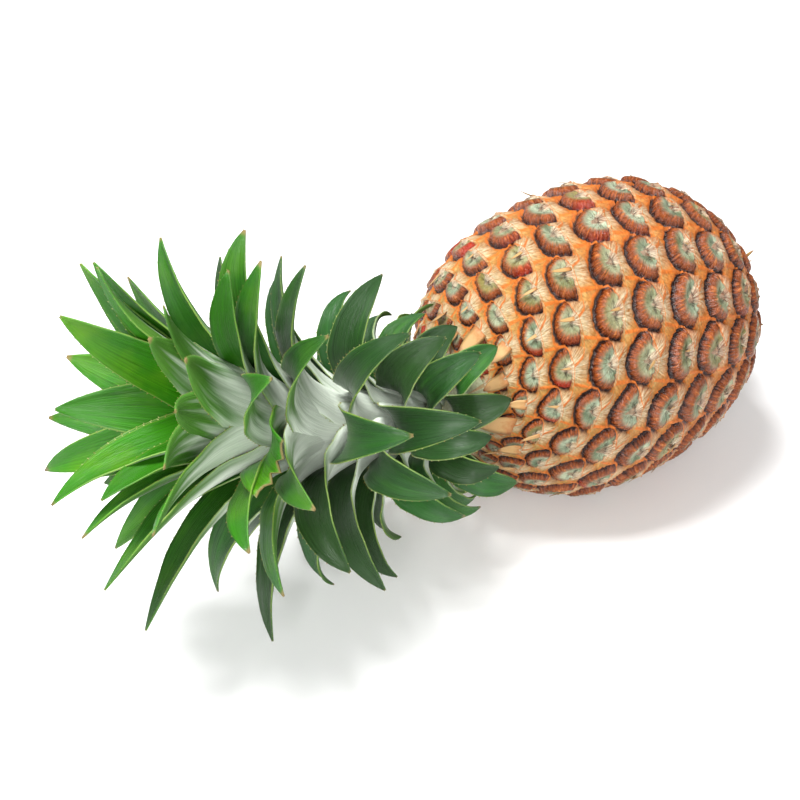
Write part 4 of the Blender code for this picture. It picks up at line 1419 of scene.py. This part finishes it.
@dataclass(frozen=True)
class SpineTip:
    """Leaf spine: dry and pale, satin, so a margin looks finely saw-edged."""

    pale: str = "#B9BC7C"
    brown: str = "#8C6B3C"

    def make(self) -> bpy.types.Material:
        """Builds the material.

        Returns:
            The material.
        """
        material, tree, shader = new_material("dry_leaf_spine")
        kind, one, two, out = MixSide.COLOUR.value
        place = add_node(tree, "ShaderNodeTexCoord").outputs["Object"]
        grain = add_node(tree, NOISE, {"Vector": place, "Scale": 120.0}).outputs[0]
        tone = add_node(tree, MAP_RANGE, {0: grain, 1: 0.4, 2: 0.6}).outputs[0]
        colour = add_node(tree, MIX, {0: tone, one: linear(self.pale), two: linear(self.brown)},
                          data_type=kind).outputs[out]
        tree.links.new(colour, shader.inputs["Base Color"])
        shader.inputs["Roughness"].default_value = 0.5
        return material


@dataclass(frozen=True)
class LeafBlade:
    """Stiff crown leaf, grown: satin green front with fine veins, silvery scurf on its back, pale margins."""

    front_dark: str = "#1F3C14"
    front_bright: str = "#2C7006"
    front_yellow: str = "#5A8A14"
    front_blue: str = "#244A28"
    back_silver: str = "#EAF3E4"
    back_green: str = "#567F34"
    margin: str = "#93AC50"
    dry_tip: str = "#7C6C40"

    def make(self) -> bpy.types.Material:
        """Builds the leaf's material.

        Returns:
            The material.
        """
        material, tree, shader = new_material("crown_leaf_blade")
        kind, one, two, out = MixSide.COLOUR.value
        smooth = {"interpolation_type": "SMOOTHSTEP"}
        blade = add_node(tree, "ShaderNodeUVMap", uv_map="blade").outputs[0]
        across, length = add_node(tree, "ShaderNodeSeparateXYZ", {0: blade}).outputs[:2]
        age = add_node(tree, "ShaderNodeAttribute", attribute_name="age").outputs["Fac"]
        draw = add_node(tree, "ShaderNodeAttribute", attribute_name="draw").outputs["Fac"]
        back = add_node(tree, "ShaderNodeAttribute", attribute_name="back").outputs["Fac"]
        place = add_node(tree, "ShaderNodeTexCoord").outputs["Object"]
        salt = add_node(tree, MATH, {0: draw, 1: 57.0}, operation="MULTIPLY").outputs[0]
        lines = add_node(tree, MATH, {0: across, 1: 42.0}, operation="MULTIPLY").outputs[0]
        slow = add_node(tree, MATH, {0: length, 1: 2.2}, operation="MULTIPLY").outputs[0]
        vein_place = add_node(tree, COMBINE, {0: lines, 1: slow, 2: salt}).outputs[0]
        vein = add_node(tree, NOISE, {"Vector": vein_place, "Scale": 1.5, "Detail": 3.0, "Roughness": 0.6}).outputs[0]
        band_place = add_node(tree, VECTOR_MATH, {0: vein_place, 1: (0.16, 0.9, 1.0)}, operation="MULTIPLY").outputs[0]
        band = add_node(tree, NOISE, {"Vector": band_place, "Scale": 1.0, "Detail": 2.0}).outputs[0]
        cloud = add_node(tree, NOISE, {"Vector": place, "Scale": 45.0, "Detail": 3.0, "Roughness": 0.55}).outputs[0]
        scurf = add_node(tree, NOISE, {"Vector": place, "Scale": 1500.0, "Detail": 2.0}).outputs[0]

        # Front: dark blue-green on the old leaves, bright on the young ones, in soft bands along the blade
        young = add_node(tree, MAP_RANGE, {0: age, 1: 0.45, 2: 0.92}, **smooth).outputs[0]
        patch = add_node(tree, MATH, {0: draw, 1: 0.5, 2: -0.45}, operation="MULTIPLY_ADD").outputs[0]
        patch = add_node(tree, MATH, {0: band, 1: 0.6, 2: patch}, operation="MULTIPLY_ADD").outputs[0]
        bright = add_node(tree, MATH, {0: patch, 1: young}, operation="ADD").outputs[0]
        bright = add_node(tree, MAP_RANGE, {0: bright, 1: 0.0, 2: 1.0}).outputs[0]
        dark = add_node(tree, MIX, {0: draw, one: linear(self.front_dark), two: linear(self.front_blue)},
                        data_type=kind).outputs[out]
        front = add_node(tree, MIX, {0: bright, one: dark, two: linear(self.front_bright)},
                         data_type=kind).outputs[out]
        patches = add_node(tree, MAP_RANGE, {0: cloud, 1: 0.48, 2: 0.72, 4: 0.7}).outputs[0]
        patches = add_node(tree, MATH, {0: patches, 1: bright}, operation="MULTIPLY").outputs[0]
        front = add_node(tree, MIX, {0: patches, one: front, two: linear(self.front_yellow)},
                         data_type=kind).outputs[out]
        root = add_node(tree, MAP_RANGE, {0: length, 1: 0.34, 2: 0.02, 4: 0.5}, **smooth).outputs[0]
        front = add_node(tree, MIX, {0: root, one: front, two: linear(self.back_silver)},
                         data_type=kind).outputs[out]
        tint = add_node(tree, MAP_RANGE, {0: vein, 1: 0.3, 2: 0.7, 3: 0.62, 4: 1.30}).outputs[0]
        front = add_node(tree, VECTOR_MATH, {0: front, "Scale": tint}, operation="SCALE").outputs[0]

        # Back: silvery white near the root, where the scurf is thick, and greener toward its tip and margins
        beside = add_node(tree, MATH, {0: across, 1: 0.5}, operation="SUBTRACT").outputs[0]
        beside = add_node(tree, MATH, {0: beside}, operation="ABSOLUTE").outputs[0]
        fade = add_node(tree, MATH, {0: band, 1: 0.7, 2: -0.35}, operation="MULTIPLY_ADD").outputs[0]
        fade = add_node(tree, MATH, {0: length, 1: fade}, operation="ADD").outputs[0]
        fade = add_node(tree, MATH, {0: beside, 1: 0.35, 2: fade}, operation="MULTIPLY_ADD").outputs[0]
        greener = add_node(tree, MAP_RANGE, {0: fade, 1: 0.45, 2: 0.92}, **smooth).outputs[0]
        far_green = add_node(tree, MIX, {0: 0.5, one: front, two: linear(self.back_green)},
                             data_type=kind).outputs[out]
        rear = add_node(tree, MIX, {0: greener, one: linear(self.back_silver), two: far_green},
                        data_type=kind).outputs[out]
        stripe = add_node(tree, MAP_RANGE, {0: vein, 1: 0.3, 2: 0.7, 3: 0.84, 4: 1.06}).outputs[0]
        rear = add_node(tree, VECTOR_MATH, {0: rear, "Scale": stripe}, operation="SCALE").outputs[0]
        colour = add_node(tree, MIX, {0: back, one: front, two: rear}, data_type=kind).outputs[out]

        pale = add_node(tree, MAP_RANGE, {0: length, 1: 0.92, 2: 0.75, 4: 0.42}).outputs[0]
        margin = add_node(tree, MAP_RANGE, {0: beside, 1: 0.480, 2: 0.499}, **smooth).outputs[0]
        margin = add_node(tree, MATH, {0: margin, 1: pale}, operation="MULTIPLY").outputs[0]
        colour = add_node(tree, MIX, {0: margin, one: colour, two: linear(self.margin)},
                          data_type=kind).outputs[out]
        dry = add_node(tree, MATH, {0: draw, 1: 0.02, 2: length}, operation="MULTIPLY_ADD").outputs[0]
        dry = add_node(tree, MAP_RANGE, {0: dry, 1: 0.990, 2: 1.012}, **smooth).outputs[0]
        colour = add_node(tree, MIX, {0: dry, one: colour, two: linear(self.dry_tip)}, data_type=kind).outputs[out]
        tree.links.new(colour, shader.inputs["Base Color"])
        waxy = add_node(tree, MAP_RANGE, {0: vein, 1: 0.3, 2: 0.7, 3: 0.26, 4: 0.42}).outputs[0]
        dull = add_node(tree, MAP_RANGE, {0: scurf, 3: 0.50, 4: 0.72}).outputs[0]
        rough = add_node(tree, MIX, {0: back, 2: waxy, 3: dull}, data_type="FLOAT").outputs[0]
        tree.links.new(rough, shader.inputs["Roughness"])
        shader.inputs["Specular IOR Level"].default_value = 0.3
        groove = add_node(tree, "ShaderNodeBump", {"Strength": 0.5, "Distance": 0.0008, "Height": vein}).outputs[0]
        tree.links.new(groove, shader.inputs["Normal"])
        return material


# Stalk

@dataclass
class Stalk:
    """Cut stub of the stalk, ridged by its fibres, with a slightly hollow cut face."""

    body: Body
    radius: float = 0.0140
    length: float = 0.013
    sides: int = 216
    gap: float = 0.0004
    rings: int = 22
    cut_rings: int = 30

    def build(self) -> bpy.types.Object:
        """Makes the stub as one closed mesh.

        Returns:
            The stub.
        """
        start = self.body.end_reach(self.body.stalk_end_radius) + self.gap
        turn = np.linspace(0.0, math.tau, self.sides, endpoint=False)
        ridges = 0.0005 * np.sin(17.0 * turn) + 0.00028 * np.sin(41.0 * turn + 1.0)
        bundles = 0.00018 * np.sin(73.0 * turn)
        rings = []
        for share in np.linspace(0.0, 1.0, self.rings):
            size = self.radius * (1.06 - 0.09 * share - 0.05 * float(soft_step(0.92, 1.0, share)))
            radius = size + ridges + bundles * math.sin(9.0 * share)
            x = np.full(self.sides, start + share * self.length) + 0.0003 * share * np.sin(29.0 * turn)
            rings.append(np.stack([x, radius * np.cos(turn), radius * np.sin(turn)], axis=-1))
        for share in np.linspace(0.96, 0.04, self.cut_rings):
            radius = share * (self.radius * 0.92 + ridges)
            torn = 0.00022 * np.sin(31.0 * turn + 40.0 * share) * np.sin(57.0 * share)
            x = start + self.length - 0.0009 * (1.0 - share ** 2) + torn * share
            rings.append(np.stack([x, radius * np.cos(turn), radius * np.sin(turn)], axis=-1))
        points = np.concatenate(rings)
        ends = np.array([[start, 0.0, 0.0], [start + self.length - 0.0009, 0.0, 0.0]])
        points = np.concatenate([points, ends]) + np.array(self.body.centre)
        faces: list[tuple[int, ...]] = []
        total = len(rings)
        for ring in range(total - 1):
            for index in range(self.sides):
                other = (index + 1) % self.sides
                low = ring * self.sides
                faces.append((low + index, low + other, low + self.sides + other, low + self.sides + index))
        for index in range(self.sides):
            other = (index + 1) % self.sides
            faces.append((other, index, total * self.sides))
            last = (total - 1) * self.sides
            faces.append((last + index, last + other, total * self.sides + 1))
        return mesh_object("stalk_stub", points, faces)


@dataclass(frozen=True)
class CutStalk:
    """Dry cut stalk: matt pale fibres, with darker bundle ends on the cut face."""

    pale: str = "#CDBB8C"
    brown: str = "#7C5A33"

    def make(self) -> bpy.types.Material:
        """Builds the stalk's material.

        Returns:
            The material.
        """
        material, tree, shader = new_material("dry_cut_stalk_fibre")
        kind, one, two, out = MixSide.COLOUR.value
        place = add_node(tree, "ShaderNodeTexCoord").outputs["Object"]
        long_place = add_node(tree, "ShaderNodeMapping", {0: place, "Scale": (0.12, 1.0, 1.0)}).outputs[0]
        fibre = add_node(tree, NOISE, {"Vector": long_place, "Scale": 900.0, "Detail": 4.0}).outputs[0]
        bundle = add_node(tree, "ShaderNodeTexVoronoi", {"Vector": long_place, "Scale": 800.0}).outputs[0]
        dots = add_node(tree, MAP_RANGE, {0: bundle, 1: 0.15, 2: 0.4}).outputs[0]
        tone = add_node(tree, MATH, {0: fibre, 1: dots}, operation="MULTIPLY").outputs[0]
        tone = add_node(tree, MAP_RANGE, {0: tone, 1: 0.1, 2: 0.55}).outputs[0]
        colour = add_node(tree, MIX, {0: tone, one: linear(self.brown), two: linear(self.pale)},
                          data_type=kind).outputs[out]
        tree.links.new(colour, shader.inputs["Base Color"])
        shader.inputs["Roughness"].default_value = 0.85
        bump = add_node(tree, "ShaderNodeBump", {"Strength": 0.6, "Distance": 0.0005, "Height": fibre}).outputs[0]
        tree.links.new(bump, shader.inputs["Normal"])
        return material


# Studio

@dataclass
class Studio:
    """Pale floor, soft light and the camera, which looks down on the crown from its front left."""

    centre: Vector
    camera_offset: Vector = field(default_factory=lambda: Vector((-0.35402, -0.29993, 0.29345)))
    camera_heading: float = math.radians(40.02)
    camera_pitch: float = math.radians(35.57)
    lens: float = 58.40
    floor_size: float = 6.0
    floor_drop: float = 0.0002
    key_place: tuple[float, float, float] = (-0.32, 0.16, 0.95)
    key_size: float = 0.40
    key_power: float = 18.5
    front_place: tuple[float, float, float] = (-0.85, -0.75, 0.62)
    front_size: float = 0.45
    front_power: float = 13.0
    surroundings: float = 0.40

    def floor(self) -> None:
        """Adds the floor."""
        half = 0.5 * self.floor_size
        corners = [(-half, -half), (half, -half), (half, half), (-half, half)]
        points = np.array([(x, y, -self.floor_drop) for x, y in corners])
        plane = mesh_object("studio_floor", points, [(0, 1, 2, 3)])
        material, tree, shader = new_material("matt_white_paper")
        place = add_node(tree, "ShaderNodeTexCoord").outputs["Object"]
        grain = add_node(tree, NOISE, {"Vector": place, "Scale": 60.0}).outputs[0]
        tone = add_node(tree, MAP_RANGE, {0: grain, 3: 0.93, 4: 0.95}).outputs[0]
        white = add_node(tree, COMBINE, {0: tone, 1: tone, 2: tone}).outputs[0]
        tree.links.new(white, shader.inputs["Base Color"])
        shader.inputs["Roughness"].default_value = 0.9
        wear(plane, material)

    def lamp(self, name: str, place: Vector, size: float, power: float) -> None:
        """Adds one soft lamp that faces the fruit.

        Args:
            name: Name of the lamp.
            place: Where it hangs, from the fruit's centre.
            size: Side of its square.
            power: Light in watts.
        """
        light = bpy.data.lights.new(name, "AREA")
        light.size = size
        light.energy = power
        lamp = link_object(name, light)
        lamp.location = self.centre + place
        lamp.rotation_euler = (-place).to_track_quat("-Z", "Y").to_euler()

    def light(self) -> None:
        """Adds the lamps and the pale surroundings."""
        self.lamp("key_lamp", Vector(self.key_place), self.key_size, self.key_power)
        self.lamp("front_lamp", Vector(self.front_place), self.front_size, self.front_power)
        world = bpy.data.worlds.new("pale_surroundings")
        world.use_nodes = True
        background = world.node_tree.nodes["Background"]
        background.inputs[0].default_value = linear("#FFFFFF")
        background.inputs[1].default_value = self.surroundings
        bpy.context.scene.world = world
        bpy.context.scene.view_settings.view_transform = "Standard"

    def camera(self) -> None:
        """Adds the camera at the photograph's angle."""
        data = bpy.data.cameras.new("camera")
        data.lens = self.lens
        data.sensor_width = 36.0
        data.clip_start = 0.01
        camera = link_object("camera", data)
        camera.location = self.centre + self.camera_offset
        level = math.cos(self.camera_pitch)
        way = Vector((level * math.sin(self.camera_heading), level * math.cos(self.camera_heading),
                      -math.sin(self.camera_pitch)))
        camera.rotation_euler = way.to_track_quat("-Z", "Y").to_euler()
        bpy.context.scene.camera = camera


def fruit_centre(body_sizes: Body) -> Vector:
    """Finds the middle of the fruit's body in the frame.

    Args:
        body_sizes: A body at any place.

    Returns:
        The centre.
    """
    low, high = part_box("fruit")
    x = low.x + body_sizes.end_reach(body_sizes.crown_end_radius)
    raised = 0.5 * EyePattern().cushion_height
    return Vector((x, 0.5 * (low.y + high.y), body_sizes.radius * (1.0 + raised) - FLAT_SPOT_DEPTH))


def main() -> None:
    """Builds, dresses and reports every piece in order."""
    logging.basicConfig(level=logging.INFO, format="%(name)s: %(message)s")
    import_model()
    body = Body(centre=Vector((0.0, 0.0, 0.0)))
    body.centre = fruit_centre(body)
    eyes = EyePattern()

    skin = Fruit(body, eyes).build()
    wear(skin, WaxySkin(eyes).make())
    enlist(skin, Slot.SKIN, "fruit")
    for piece in BractTips(body, eyes).build(DryBract().make()):
        enlist(piece, Slot.SKIN)

    crown = Crown(body)
    leaves = crown.build()
    wear(leaves, LeafBlade().make())
    enlist(leaves, Slot.LEAF, "crown")
    enlist(crown.spines(SpineTip().make()), Slot.LEAF)

    stub = Stalk(body).build()
    wear(stub, CutStalk().make())
    enlist(stub, Slot.STALK, "stalk")

    studio = Studio(body.centre)
    studio.floor()
    studio.light()
    studio.camera()


if __name__ == "__main__":
    main()
